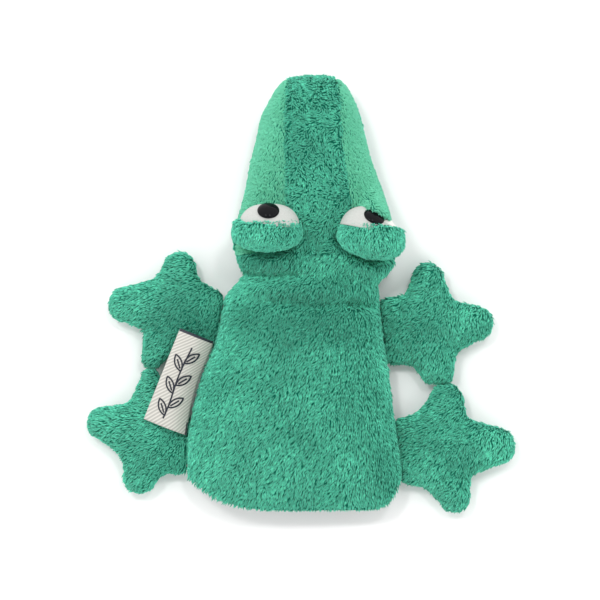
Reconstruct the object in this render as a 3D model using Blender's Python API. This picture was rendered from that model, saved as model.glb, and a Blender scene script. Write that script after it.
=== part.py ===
"""Plush crocodile hand puppet with a moving mouth, lying on its belly.

+Z is up, +Y runs to the snout tip and +X to the puppet's right as seen from above.
The origin is on the flat underside of the belly, under the middle of the torso.
Lengths below are in millimetres; MM turns them into metres where a mesh is made.
"""

import functools
import math

import bmesh
import bpy
import numpy as np

MM = 0.001

# ---------------------------------------------------------------- cloth
PLUSH = 2.2            # backing and pile of a plush panel
LINING = 0.8           # woven lining
FELT = 1.2             # mouth felt
FOAM = 1.8             # mouth stiffener
GAP = 0.3              # between pieces that touch
LINING_ROOM = 0.8      # between the plush and the lining, which hang free of each other
FILLING_ROOM = 0.8     # between the plush and the filling

# ---------------------------------------------------------------- torso
TORSO_LEFT = [(-60, -56.0), (-35, -56.2), (-16, -55.4), (10, -49.6), (30, -41.6), (48, -38.4), (58, -36.4)]
TORSO_RIGHT = [(-60, 55.0), (-39, 54.8), (-12, 51.6), (10, 48.4), (34, 45.3), (53, 43.2), (58, 42.6)]
TORSO_TOP = [(-60, 21), (-45, 25), (-20, 30), (20, 31), (48, 29.5), (58, 28)]
TORSO_END_Y = 56.0     # where the torso panels meet the neck
HEM_Y = -58.3          # lowest point of the hem, mid back
HEM_RISE = 17.0        # how far the hem curves up to the side seams
HEM_POWER = (3.4, 12)  # how tight the left and the right hem corners are
SEAM_Z = 9.0           # side seams
BACK_POWER = 2.3       # how boxy the back's cross-section is
BELLY_FLAT = 0.6       # share of the half width that lies flat
TORSO_MESH = (9, 15)   # rows and columns of points on each panel
LINING_END_IN = 1.0    # from the plush's ends in to the lining's, at the neck
LINING_HEM_IN = 2.5    # and at the hem

# ---------------------------------------------------------------- neck and head
NECK_LEFT = [(56, -36.2), (59, -31.8), (62, -29.5), (66, -28.6), (70, -29.4), (74, -30.5)]
NECK_RIGHT = [(56, 42.6), (59, 42.0), (62, 42.6), (66, 46.8), (70, 50.4), (74, 52.0)]
NECK_TOP = (28.2, 29.5)
NECK_SEAM_Z = (9.0, 15.0)
HEAD_START_Y = 74.0    # rear edge of the head panels
NECK_MESH = (5, 13)
HEAD_LEFT = [
    (74, -30.5), (84, -31.0), (94, -30.4), (104, -28.6), (115, -26.2), (125, -24.0),
    (135, -21.4), (146, -18.6), (156, -14.3), (162, -11.0), (166, -7.4), (167.2, -5.6),
]
HEAD_RIGHT = [
    (74, 52.0), (84, 52.4), (94, 50.6), (104, 47.3), (115, 43.2), (125, 39.7),
    (135, 36.9), (146, 34.0), (156, 30.7), (162, 27.4), (166, 24.2), (167.2, 22.6),
]
HEAD_RIDGE = [
    (74, 29.5), (88, 34.5), (104, 38.5), (125, 38.0), (145, 35.5),
    (157, 32.0), (165, 26.0), (168.2, 20.5), (168.4, 15.4),
]
GUSSET_LEFT = [(74, -8.0), (96, -5.8), (168, -5.6)]
GUSSET_RIGHT = [(74, 30.0), (104, 28.0), (125, 24.5), (145, 23.0), (168, 22.6)]
GUSSET_CROWN = 1.0
TIP_BOW = 1.8          # how much the snout's front edge bows forward
SIDE_POWER = 1.6
LIP_Z = 15.4
HEAD_ROWS = 15         # of points along each head panel
HEAD_COLUMNS = 6       # and across it
SNOUT_FILLING_AT = (8.4, 151.0, 24.6)
SNOUT_FILLING_RADII = (11.5, 7.6, 5.0)

# ---------------------------------------------------------------- mouth
JAW_START_Y = 84.0
JAW_END_Y = 166.0
JAW_BOW_Y = 146.0      # where the chin starts to rise
JAW_INSET = 1.0        # the lower lip sits inside the upper one
JAW_LIP_Z = 14.2
JAW_CORNER = 9.0
JAW_LAST_ANGLE = 80.0
JAW_MESH = (11, 13)
FELT_ROOM = 0.1        # from the lips to the felt
UPPER_FELT_IN, UPPER_FELT_END = 1.2, 164.0     # from the plush's inside, and where it ends along Y
UPPER_FOAM_IN, UPPER_FOAM_END = 2.6, 161.0
LOWER_FELT_IN, LOWER_FELT_END = 2.4, 159.0
LOWER_FOAM_IN, LOWER_FOAM_END = 3.8, 155.0
FOAM_BACK = 3.0        # the foam starts this far ahead of the felt

# ---------------------------------------------------------------- eyes
EYE_ROOM = 0.3
EYES = {
    "left": {
        "centre": (-14.6, 89.0, 36.0), "radii": (17.8, 12.6, 14.6), "turn": 0.0, "look": (-2.0, 46.0),
        "lid_edge": 0.16,      # where the lid ends, as a share of the dome's depth
    },
    "right": {
        "centre": (38.6, 86.2, 35.6), "radii": (17.2, 13.4, 14.0), "turn": -12.0, "look": (14.0, 40.0),
        "lid_edge": 0.26,
    },
}
LID_FULLEST = -0.32    # where a lid is widest, as a share of the dome's depth
LID_CLOSING = 1.3      # how far ahead of that it would close
DOME_SLIM = 0.93       # width of the white and the filling against the dome's
LID_CLOTH = 2.0
WHITE_CLOTH = 1.2
BUTTON_R = 5.8
BUTTON_H = 3.0
BUTTON_BASE = 0.25     # from the white up to the button's underside
BUTTON_ARC = (8, 26, 44, 62, 80)
STEM_R = 2.3
STEM_LENGTH = 7.4
WASHER_R = 5.2
WASHER_DEPTH = 4.6
WASHER_H = 1.2

# ---------------------------------------------------------------- paws
PAW_SEAM_Z = 7.6
PAW_HALF = 7.4         # half thickness of a stuffed finger
PAW_EDGE = 11.0        # distance from the outline at which it is full
ROOT_GAP = 2.6         # from the side seam to the paw, room for the cloth to fold
ROOT_SHARE = 0.3       # thickness left at the root
ROOT_TAPER = 14.0
PAW_BLEND = 0.9        # how softly the fingers run into the palm
PAW_RINGS = (0.4, 0.7, 0.9, 1)
PAW_COLUMNS = 40
# Circles as (x, y, radius); "limit" is the plane in Y that keeps the paws of one side apart
PAWS = {
    "front_paw_right": {
        "side": 1, "palm": (67.4, 37.0, 19.0), "arm": (47.0, 36.0, 18.4),
        "fingers": [(68.3, 63.6, 8.4), (92.5, 40.0, 9.8), (74.7, 8.1, 6.6)], "limit": (9.2, 1),
    },
    "rear_paw_right": {
        "side": 1, "palm": (73.2, -24.9, 20.6), "arm": (52.0, -26.2, 17.6),
        "fingers": [(77.6, 0.8, 9.0), (103.1, -23.9, 10.5), (81.7, -49.4, 8.8)], "limit": (8.7, -1),
    },
    "front_paw_left": {
        "side": -1, "palm": (-61.8, 48.0, 17.8), "arm": (-42.0, 40.8, 16.0),
        "fingers": [(-59.8, 68.2, 9.1), (-86.7, 49.8, 10.2), (-73.7, 22.3, 6.3)], "limit": (16.4, 1),
    },
    "rear_paw_left": {
        "side": -1, "palm": (-72.9, -17.7, 20.4), "arm": (-55.0, -25.2, 15.4),
        "fingers": [(-75.4, 12.6, 5.0), (-98.7, -11.8, 9.5), (-80.6, -39.0, 9.5)], "limit": (15.9, -1),
    },
}

# ---------------------------------------------------------------- label
LABEL_FOLD = (-77.9, -8.9)     # lower end of the label's folded edge
LABEL_LENGTH = 50.0
LABEL_TURN = 22.3              # degrees from +Y towards +X
LABEL_GAP = 2.0                # from the side seam
LABEL_CLOTH = 0.45
LABEL_LOOP = 1.1               # half height of the folded loop
LABEL_RISE = [(0, 12.4), (5.0, 16.2), (11.0, 17.9), (22.0, 17.6)]

# ---------------------------------------------------------------- where the moving pieces have their origins
ORIGINS = (
    ((6.5, 65.0, 14.0), ("neck", "head", "eye", "palate_upper", "mouth_foam_upper", "snout", "throat")),
    ((10.5, 82.0, 14.8), ("lower_jaw", "palate_lower", "mouth_foam_lower")),
    ((-51.2, 8.0, 12.4), ("woven_label",)),
    ((-42.5, 40.0, 7.6), ("front_paw_left",)),
    ((47.6, 38.0, 7.6), ("front_paw_right",)),
    ((-58.2, -20.5, 7.6), ("rear_paw_left",)),
    ((55.7, -24.5, 7.6), ("rear_paw_right",)),
)

# ---------------------------------------------------------------- colours
GREEN = (0.075, 0.46, 0.31)
WHITE = (0.86, 0.85, 0.82)
BLACK = (0.01, 0.01, 0.012)
BEIGE = (0.55, 0.52, 0.47)
MOUTH = (0.45, 0.06, 0.05)
CREAM = (0.8, 0.78, 0.7)


def clear_scene():
    for item in list(bpy.data.objects):
        bpy.data.objects.remove(item, do_unlink=True)


def material(name, colour, roughness):
    found = bpy.data.materials.get(name)
    if found:
        return found
    made = bpy.data.materials.new(name)
    made.use_nodes = True
    shader = made.node_tree.nodes["Principled BSDF"]
    shader.inputs["Base Color"].default_value = (*colour, 1.0)
    shader.inputs["Roughness"].default_value = roughness
    shader.inputs["Metallic"].default_value = 0.0
    return made


def curve_through(points, at):
    """Values at `at` of a smooth curve through (place, value) pairs, level beyond both ends."""
    places = np.array([p[0] for p in points], float)
    values = np.array([p[1] for p in points], float)
    slopes = np.gradient(values, places)
    at = np.clip(at, places[0], places[-1])
    i = np.clip(np.searchsorted(places, at) - 1, 0, len(places) - 2)
    step = places[i + 1] - places[i]
    t = (at - places[i]) / step
    start = (2 * t**3 - 3 * t**2 + 1) * values[i] + (t**3 - 2 * t**2 + t) * step * slopes[i]
    end = (3 * t**2 - 2 * t**3) * values[i + 1] + (t**3 - t**2) * step * slopes[i + 1]
    return start + end


def path_through(points, count):
    """`count` points evenly spaced along a smooth path through `points`, and the left normals there."""
    points = np.array(points, float)
    length = np.concatenate([[0], np.cumsum(np.linalg.norm(np.diff(points, axis=0), axis=1))])
    fine = np.linspace(0, length[-1], 400)
    line = np.stack([curve_through(list(zip(length, points[:, k])), fine) for k in range(2)], axis=1)
    run = np.concatenate([[0], np.cumsum(np.linalg.norm(np.diff(line, axis=0), axis=1))])
    where = np.linspace(0, run[-1], count)
    even = np.stack([np.interp(where, run, line[:, k]) for k in range(2)], axis=1)
    tangent = np.gradient(even, axis=0)
    tangent /= np.linalg.norm(tangent, axis=1)[:, None]
    return even, np.stack([-tangent[:, 1], tangent[:, 0]], axis=1)


def origin_of(name):
    """The point of a piece's joint axis that is its origin, or the puppet's own origin."""
    for place, names in ORIGINS:
        if name.startswith(names):
            return np.array(place)
    return np.zeros(3)


def new_object(name, points, faces, slot):
    """A mesh object from points in millimetres, with its faces turned outwards."""
    origin = origin_of(name)
    mesh = bpy.data.meshes.new(name)
    mesh.from_pydata(((np.array(points, float) - origin) * MM).tolist(), [], faces)
    shape = bmesh.new()
    shape.from_mesh(mesh)
    bmesh.ops.recalc_face_normals(shape, faces=shape.faces)
    shape.to_mesh(mesh)
    shape.free()
    mesh.shade_smooth()
    mesh.set_sharp_from_angle(angle=math.radians(40))
    item = bpy.data.objects.new(name, mesh)
    item.location = origin * MM
    bpy.context.scene.collection.objects.link(item)
    item.data.materials.append(slot)
    return item


def grid_faces(rows, columns, start=0, wrap=False):
    """Quads of a rows by columns grid of points, closed round each row where wrap is set."""
    faces = []
    for r in range(rows - 1):
        for c in range(columns if wrap else columns - 1):
            n = (c + 1) % columns
            faces.append((start + r * columns + c, start + r * columns + n,
                          start + (r + 1) * columns + n, start + (r + 1) * columns + c))
    return faces


def cloth(name, outer, inner, slot):
    """A closed panel between two grids of points, outer and inner, of the same shape."""
    rows, columns = outer.shape[:2]
    count = rows * columns
    points = np.concatenate([outer.reshape(-1, 3), inner.reshape(-1, 3)])
    faces = grid_faces(rows, columns)
    faces += [tuple(reversed(f)) for f in grid_faces(rows, columns, count)]
    border = [(0, c) for c in range(columns)] + [(r, columns - 1) for r in range(1, rows)]
    border += [(rows - 1, c) for c in reversed(range(columns - 1))] + [(r, 0) for r in reversed(range(1, rows - 1))]
    for a, b in zip(border, border[1:] + border[:1]):
        i, j = a[0] * columns + a[1], b[0] * columns + b[1]
        faces.append((i, j, j + count, i + count))
    return new_object(name, points, faces, slot)


def arch(left, right, seam_z, top_z, power, share):
    """Points of an arch from the left seam over the top to the right one, at shares 0 to 1."""
    angle = math.pi * share
    c, s = np.cos(angle), np.sin(angle)
    across = -np.sign(c) * np.abs(c) ** (2 / power)
    up = np.abs(s) ** (2 / power)
    middle, half = (left + right) / 2, (right - left) / 2
    return middle + half * across, seam_z + (top_z - seam_z) * up


def trough(left, right, seam_z, low_z, flat, share):
    """Points of a flat-bottomed trough from the left seam under to the right one, at shares 0 to 1."""
    middle, half = (left + right) / 2, (right - left) / 2
    corner = half * (1 - flat)
    turn = 0.3
    angle = np.clip(np.minimum(share, 1 - share) / turn, 0, 1) * math.pi / 2
    along = np.clip((share - turn) / (1 - 2 * turn), 0, 1)
    side = np.where(share < 0.5, -1, 1)
    x = np.where(
        (share > turn) & (share < 1 - turn),
        middle + (half - corner) * (2 * along - 1),
        middle + side * (half - corner + corner * np.cos(angle)),
    )
    return x, seam_z - (seam_z - low_z) * np.sin(angle)


# ---------------------------------------------------------------- torso

def torso_grid(part, inset, rows, columns, gap, end_in=0.0, hem_in=0.0):
    """The back or the belly, `inset` inside the torso's outer surface."""
    share = np.linspace(0, 1, columns)
    points = np.zeros((rows, columns, 3))
    if part == "belly":
        across = np.abs(trough(-1.0, 1.0, 0.0, 0.0, BELLY_FLAT, share)[0])
    else:
        across = np.abs(np.cos(math.pi * share)) ** (2 / BACK_POWER)
    power = np.where(share < 0.5, *HEM_POWER)
    hem = HEM_Y + hem_in + HEM_RISE * across**power
    for r in range(rows):
        y = hem + (TORSO_END_Y - end_in - hem) * r / (rows - 1)
        left = curve_through(TORSO_LEFT, y) + inset
        right = curve_through(TORSO_RIGHT, y) - inset
        if part == "back":
            top = curve_through(TORSO_TOP, y) - inset
            x, z = arch(left, right, SEAM_Z + gap, top, BACK_POWER, share)
        else:
            x, z = trough(left, right, SEAM_Z - gap, inset, BELLY_FLAT, share)
        points[r] = np.stack([x, y, z], axis=1)
    return points


def make_torso(plush, lining):
    rows, columns = TORSO_MESH
    inside = PLUSH + LINING_ROOM
    for part in ("back", "belly"):
        cloth(
            "body_" + part,
            torso_grid(part, 0.0, rows, columns, GAP / 2),
            torso_grid(part, PLUSH, rows, columns, GAP / 2),
            plush,
        )
        cloth(
            "lining_" + part,
            torso_grid(part, inside, rows, columns, GAP, LINING_END_IN, LINING_HEM_IN),
            torso_grid(part, inside + LINING, rows, columns, GAP, LINING_END_IN, LINING_HEM_IN),
            lining,
        )


# ---------------------------------------------------------------- neck

def neck_ring(y, inset, columns):
    """One closed ring of the neck: over the back, then under the belly."""
    share = (y - TORSO_END_Y) / (HEAD_START_Y - TORSO_END_Y)
    left = curve_through(NECK_LEFT, y) + inset
    right = curve_through(NECK_RIGHT, y) - inset
    seam = NECK_SEAM_Z[0] + (NECK_SEAM_Z[1] - NECK_SEAM_Z[0]) * share
    top = NECK_TOP[0] + (NECK_TOP[1] - NECK_TOP[0]) * share - inset
    over = arch(left, right, seam, top, BACK_POWER, np.linspace(0, 1, columns))
    under = trough(left, right, seam, inset, BELLY_FLAT, np.linspace(1, 0, columns))
    x = np.concatenate([over[0], under[0][1:-1]])
    z = np.concatenate([over[1], under[1][1:-1]])
    return np.stack([x, np.full_like(x, y), z], axis=1)


def make_neck(plush):
    rows, columns = NECK_MESH
    places = np.linspace(TORSO_END_Y + GAP, HEAD_START_Y - GAP, rows)
    outer = np.array([neck_ring(y, 0.0, columns) for y in places])
    inner = np.array([neck_ring(y, PLUSH, columns) for y in places])
    around = outer.shape[1]
    count = rows * around
    faces = grid_faces(rows, around, 0, True)
    faces += [tuple(reversed(f)) for f in grid_faces(rows, around, count, True)]
    for row in (0, rows - 1):
        for c in range(around):
            i, j = row * around + c, row * around + (c + 1) % around
            faces.append((i, j, j + count, i + count))
    points = np.concatenate([outer.reshape(-1, 3), inner.reshape(-1, 3)])
    new_object("neck_sleeve", points, faces, plush)


# ---------------------------------------------------------------- head

def ridge(inset, count):
    """The snout's middle line from the neck over the tip to the upper lip, as (y, z)."""
    line, normal = path_through(HEAD_RIDGE, count)
    return line + normal * -inset if normal[0][1] > 0 else line + normal * inset


def gusset_grid(inset, rows, columns, gap):
    line = ridge(inset, rows)
    points = np.zeros((rows, columns, 3))
    across = np.linspace(-1, 1, columns)
    for r, (y, z) in enumerate(line):
        left = curve_through(GUSSET_LEFT, y) + gap
        right = curve_through(GUSSET_RIGHT, y) - gap
        forward = np.clip((y - 150) / 18, 0, 1) * TIP_BOW
        upright = 1 - r / (rows - 1)
        points[r, :, 0] = (left + right) / 2 + (right - left) / 2 * across
        points[r, :, 1] = y - forward * across**2
        points[r, :, 2] = z - GUSSET_CROWN * upright * across**2
    return points


def lip_line(side, inset, count):
    """The upper lip from the neck to the gusset's front corner, as (x, y)."""
    table = HEAD_RIGHT if side > 0 else HEAD_LEFT
    line, normal = path_through([(x, y) for y, x in table], count)
    outward = normal * -side
    outward[:, 0] *= 1 - np.linspace(0, 1, count) ** 8
    return line - outward * inset


def side_grid(side, inset, rows, columns, gap):
    seam = gusset_grid(inset, rows, 3, -gap)[:, 1 + side]
    lip = lip_line(side, inset, rows)
    lip[:, 0] += gap * side * np.linspace(0, 1, rows) ** 8
    lip[0, 1] = seam[0, 1]
    angle = np.linspace(0, math.pi / 2, columns)
    out = np.sin(angle) ** (2 / SIDE_POWER)
    up = np.cos(angle) ** (2 / SIDE_POWER)
    points = np.zeros((rows, columns, 3))
    for r in range(rows):
        low = LIP_Z
        high = max(seam[r, 2], low + 2.6)
        points[r, :, 0] = seam[r, 0] + (lip[r, 0] - seam[r, 0]) * out
        points[r, :, 1] = seam[r, 1] + (lip[r, 1] - seam[r, 1]) * out
        points[r, :, 2] = low + (high - low) * up
    return points


def make_head(plush):
    for grid, name in (
        (gusset_grid, "head_gusset"),
        (functools.partial(side_grid, -1), "head_side_left"),
        (functools.partial(side_grid, 1), "head_side_right"),
    ):
        outer, inner = (grid(inset, HEAD_ROWS, HEAD_COLUMNS, GAP / 2) for inset in (0.0, PLUSH))
        cloth(name, outer, inner, plush)


def head_block():
    """A closed solid of the whole upper head, a little larger than the panels; the eyes are cut by it."""
    rows = HEAD_ROWS
    left = side_grid(-1, -EYE_ROOM, rows, HEAD_COLUMNS, 0.0)[:, ::-1]
    top = gusset_grid(-EYE_ROOM, rows, HEAD_COLUMNS, 0.0)[:, 1:-1]
    right = side_grid(1, -EYE_ROOM, rows, HEAD_COLUMNS, 0.0)
    section = np.concatenate([left, top, right], axis=1)
    count = section.shape[1]
    faces = grid_faces(rows, count, 0, True)
    faces += [tuple(range(count)), tuple(reversed(range((rows - 1) * count, rows * count)))]
    block = new_object("head_block", section.reshape(-1, 3), faces, material("guide", WHITE, 0.9))
    block.hide_render = True
    block.display_type = "WIRE"
    return block


def plate(name, low_z, high_z, inset, start_y, end_y, slot, count=14):
    """A flat plate with the mouth's outline."""
    y = np.linspace(start_y, end_y, count)
    left = curve_through(HEAD_LEFT, y) + inset
    right = curve_through(HEAD_RIGHT, y) - inset
    outline = [(x, v) for x, v in zip(left, y)] + [(x, v) for x, v in zip(right[::-1], y[::-1])]
    around = len(outline)
    points = [(x, v, z) for z in (low_z, high_z) for x, v in outline]
    faces = [tuple(range(around)), tuple(reversed(range(around, 2 * around)))]
    faces += [(i, (i + 1) % around, around + (i + 1) % around, around + i) for i in range(around)]
    return new_object(name, points, faces, slot)


def jaw_grid(inset, rows, columns):
    """The lower jaw: a trough whose bottom rises to the chin."""
    straight = rows - 6
    points = np.zeros((rows, columns, 3))
    share = np.linspace(0, 1, columns)
    for r in range(rows):
        if r < straight:
            y = JAW_START_Y + (JAW_BOW_Y - JAW_START_Y) * r / straight
            outline_y, rise = y, 0.0
        else:
            rise = math.radians(JAW_LAST_ANGLE) * (r - straight) / (rows - 1 - straight)
            y = JAW_BOW_Y + (JAW_END_Y - inset - JAW_BOW_Y) * math.sin(rise)
            outline_y = JAW_BOW_Y + (JAW_END_Y - JAW_BOW_Y) * math.sin(rise)
        left = curve_through(HEAD_LEFT, outline_y) + JAW_INSET + inset
        right = curve_through(HEAD_RIGHT, outline_y) - JAW_INSET - inset
        low = JAW_LIP_Z - (JAW_LIP_Z - inset) * math.cos(rise)
        flat = 1 - JAW_CORNER / ((right - left) / 2)
        x, z = trough(left, right, JAW_LIP_Z, low, flat, share)
        points[r] = np.stack([x, np.full_like(x, y), z], axis=1)
    return points


def throat_grid(inset, rows, columns):
    share = np.linspace(0, 1, columns)
    points = np.zeros((rows, columns, 3))
    for r in range(rows):
        y = HEAD_START_Y + (JAW_START_Y - GAP - HEAD_START_Y) * r / (rows - 1)
        left = curve_through(HEAD_LEFT, y) + inset
        right = curve_through(HEAD_RIGHT, y) - inset
        x, z = trough(left, right, LIP_Z - GAP, inset, BELLY_FLAT, share)
        points[r] = np.stack([x, np.full_like(x, y), z], axis=1)
    return points


def make_mouth(plush, felt, foam):
    cloth("lower_jaw_plush", jaw_grid(0.0, *JAW_MESH), jaw_grid(PLUSH, *JAW_MESH), plush)
    cloth("throat_plush", throat_grid(0.0, 2, JAW_MESH[1]), throat_grid(PLUSH, 2, JAW_MESH[1]), plush)
    inside = PLUSH + GAP
    start = JAW_START_Y
    felt_z = LIP_Z + FELT_ROOM
    plate("palate_upper", felt_z, felt_z + FELT, inside + UPPER_FELT_IN, start, UPPER_FELT_END, felt)
    foam_z = felt_z + FELT + GAP
    plate("mouth_foam_upper", foam_z, foam_z + FOAM, inside + UPPER_FOAM_IN, start + FOAM_BACK, UPPER_FOAM_END, foam)
    felt_z = JAW_LIP_Z - FELT_ROOM
    plate("palate_lower", felt_z - FELT, felt_z, inside + LOWER_FELT_IN, start, LOWER_FELT_END, felt)
    foam_z = felt_z - FELT - GAP
    plate("mouth_foam_lower", foam_z - FOAM, foam_z, inside + LOWER_FOAM_IN, start + FOAM_BACK, LOWER_FOAM_END, foam)


def make_snout_filling(filling):
    """Stuffing in the snout's tip, ahead of the fingers."""
    rows, columns = 5, 10
    centre, radii = np.array(SNOUT_FILLING_AT), np.array(SNOUT_FILLING_RADII)
    ring_and_poles("snout_filling", centre, radii, np.eye(3), rows, columns, filling)


# ---------------------------------------------------------------- eyes

def ring_and_poles(name, centre, radii, turn, rows, columns, slot):
    """A closed ellipsoid, its poles along its own Z."""
    points = [(0.0, 0.0, -1.0)]
    for r in range(1, rows):
        up = math.pi * r / rows - math.pi / 2
        for c in range(columns):
            a = math.tau * c / columns
            points.append((math.cos(up) * math.cos(a), math.cos(up) * math.sin(a), math.sin(up)))
    points.append((0.0, 0.0, 1.0))
    last = len(points) - 1
    faces = [(0, 1 + (c + 1) % columns, 1 + c) for c in range(columns)]
    faces += grid_faces(rows - 1, columns, 1, True)
    faces += [(last, last - columns + c, last - columns + (c + 1) % columns) for c in range(columns)]
    placed = centre + (np.array(points) * radii) @ turn.T
    return new_object(name, placed, faces, slot)


def turn_about_z(degrees):
    a = math.radians(degrees)
    return np.array([[math.cos(a), -math.sin(a), 0], [math.sin(a), math.cos(a), 0], [0, 0, 1.0]])


def dome_patch(eye, inset, front, rows, columns):
    """A patch of an eye's dome: the white ahead of the lid's edge, or the lid behind it.

    Rows run from the lid's edge to the dome's front or rear pole, and columns go round it.
    """
    edge = math.acos(eye["lid_edge"])
    slack = GAP / 2 / eye["radii"][1]
    first = edge - slack if front else math.pi - edge - slack
    points = np.zeros((rows, columns, 3))
    for r in range(rows):
        a = first * (1 - r / (rows - 1) * 0.94)
        ahead = math.cos(a) * (1 if front else -1)
        if front:
            out = DOME_SLIM * math.sin(a)
        else:
            reach = 1 + LID_FULLEST if ahead < LID_FULLEST else LID_CLOSING
            out = math.sqrt(1 - ((ahead - LID_FULLEST) / reach) ** 2)
        for c in range(columns):
            b = math.tau * c / columns
            points[r, c] = (out * math.cos(b), ahead, out * math.sin(b))
    placed = points * (np.array(eye["radii"]) - inset)
    return np.array(eye["centre"]) + placed @ turn_about_z(eye["turn"]).T


def dome_cloth(name, eye, thickness, front, slot):
    """A closed cap of cloth over the front or the rear of an eye's dome."""
    rows, columns = 5, 16
    outer = dome_patch(eye, 0.0, front, rows, columns)
    inner = dome_patch(eye, thickness, front, rows, columns)
    count = rows * columns
    faces = grid_faces(rows, columns, 0, True)
    faces += [tuple(reversed(f)) for f in grid_faces(rows, columns, count, True)]
    faces += [(c, (c + 1) % columns, count + (c + 1) % columns, count + c) for c in range(columns)]
    end = (rows - 1) * columns
    faces.append(tuple(end + c for c in range(columns)))
    faces.append(tuple(count + end + c for c in reversed(range(columns))))
    points = np.concatenate([outer.reshape(-1, 3), inner.reshape(-1, 3)])
    return new_object(name, points, faces, slot)


def look_direction(eye):
    aside, up = (math.radians(a) for a in eye["look"])
    return np.array([math.sin(aside) * math.cos(up), math.cos(aside) * math.cos(up), math.sin(up)])


def button_seat(eye):
    """Where the eye button sits on the dome, and the way it faces."""
    turn = turn_about_z(eye["turn"])
    radii = np.array(eye["radii"]) * (DOME_SLIM, 1.0, DOME_SLIM)
    facing = look_direction(eye)
    local = turn.T @ facing
    touch = radii**2 * local / np.linalg.norm(radii * local)
    return np.array(eye["centre"]) + turn @ touch, facing


def turned(name, profile, seat, facing, slot, columns=16):
    """A solid turned about the line through seat along facing, from (radius, height) points."""
    side = np.cross(facing, (0.0, 0.0, 1.0))
    side /= np.linalg.norm(side)
    other = np.cross(facing, side)
    points = []
    for radius, height in profile:
        for c in range(columns):
            a = math.tau * c / columns
            points.append(seat + facing * height + (side * math.cos(a) + other * math.sin(a)) * radius)
    rows = len(profile)
    faces = grid_faces(rows, columns, 0, True)
    if profile[0] != profile[-1]:
        faces += [tuple(reversed(range(columns))), tuple(range((rows - 1) * columns, rows * columns))]
    else:
        points = points[:-columns]
        faces = [tuple(i % ((rows - 1) * columns) for i in f) for f in faces]
    return new_object(name, points, faces, slot)


def cut(item, cutter):
    """Cuts item by cutter and keeps the result in its mesh."""
    step = item.modifiers.new("cut_" + cutter.name, "BOOLEAN")
    step.operation = "DIFFERENCE"
    step.solver = "EXACT"
    step.object = cutter


def guide(item):
    item.hide_render = True
    item.display_type = "WIRE"
    return item


def make_eyes(plush, velour, filling, plastic, nylon, block):
    for name, eye in EYES.items():
        lid = dome_cloth("eyelid_" + name, eye, LID_CLOTH, False, plush)
        white = dome_cloth("eye_white_" + name, eye, WHITE_CLOTH, True, velour)
        stuffing = ring_and_poles(
            "eye_filling_" + name, np.array(eye["centre"]),
            (np.array(eye["radii"]) - LID_CLOTH - FILLING_ROOM) * (DOME_SLIM, 1.0, DOME_SLIM),
            turn_about_z(eye["turn"]), 6, 12, filling,
        )
        seat, facing = button_seat(eye)
        base = BUTTON_BASE
        dome = [(BUTTON_R * math.cos(a), base + BUTTON_H * math.sin(a)) for a in np.radians(BUTTON_ARC)]
        turned(
            "eye_button_" + name,
            [(STEM_R, -STEM_LENGTH), (STEM_R, base), (dome[0][0] - GAP / 2, base), *dome],
            seat, facing, plastic,
        )
        depth = -WASHER_DEPTH - WASHER_H
        ring = [(STEM_R + GAP, depth), (WASHER_R, depth), (WASHER_R, depth + WASHER_H), (STEM_R + GAP, depth + WASHER_H)]
        turned("eye_washer_" + name, [*ring, ring[0]], seat, facing, nylon)
        room = STEM_R + 2 * GAP
        hole = guide(turned("stem_room_" + name, [(room, -STEM_LENGTH - GAP), (room, 3.0)], seat, facing, nylon))
        pocket = guide(turned(
            "washer_room_" + name,
            [(WASHER_R + GAP, depth - GAP), (WASHER_R + GAP, depth + WASHER_H + GAP)], seat, facing, nylon,
        ))
        for item in (lid, white, stuffing):
            cut(item, block)
        for item in (white, stuffing):
            cut(item, hole)
        cut(stuffing, pocket)


# ---------------------------------------------------------------- paws

def seam_x(side, y):
    return curve_through(TORSO_RIGHT if side > 0 else TORSO_LEFT, y)


def paw_distance(paw, x, y):
    """Signed distance to a paw's outline, negative inside it."""
    palm, near_r = np.array(paw["palm"][:2]), paw["palm"][2]
    total = 0.0
    for end_x, end_y, far_r in (paw["arm"], *paw["fingers"]):
        line = np.array((end_x, end_y)) - palm
        t = np.clip(((x - palm[0]) * line[0] + (y - palm[1]) * line[1]) / (line @ line), 0, 1)
        gap = np.hypot(x - palm[0] - line[0] * t, y - palm[1] - line[1] * t)
        total = total + np.exp(-(gap - near_r - (far_r - near_r) * t) / PAW_BLEND)
    body = -PAW_BLEND * np.log(total)
    root = ROOT_GAP - (x - seam_x(paw["side"], y)) * paw["side"]
    plane, way = paw["limit"]
    return np.maximum(np.maximum(body, root), (plane - y) * way)


def paw_outline(paw, inset, columns):
    """The outline, `inset` inside the paw's edge, found along rays from the palm."""
    found = []
    palm = np.array(paw["palm"][:2])
    for a in np.linspace(0, math.tau, columns, endpoint=False):
        way = np.array([math.cos(a), math.sin(a)])
        near, far = 0.0, 2.0
        while paw_distance(paw, *(palm + way * far)) < -inset:
            near, far = far, far + 2.0
        for _ in range(12):
            middle = (near + far) / 2
            inside = paw_distance(paw, *(palm + way * middle)) < -inset
            near, far = (middle, far) if inside else (near, middle)
        found.append(palm + way * near)
    return np.array(found)


def paw_height(paw, x, y, inset):
    """Half thickness of the paw at a point, for a surface `inset` inside the outer one."""
    depth = np.clip((-paw_distance(paw, x, y) - inset) / (PAW_EDGE - inset), 0, 1)
    from_root = (x - seam_x(paw["side"], y)) * paw["side"] - ROOT_GAP
    taper = ROOT_SHARE + (1 - ROOT_SHARE) * np.clip(from_root / ROOT_TAPER, 0, 1) ** 0.8
    return np.sqrt(1 - (1 - depth) ** 2) * max(PAW_HALF * taper - inset, 0.05)


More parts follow.
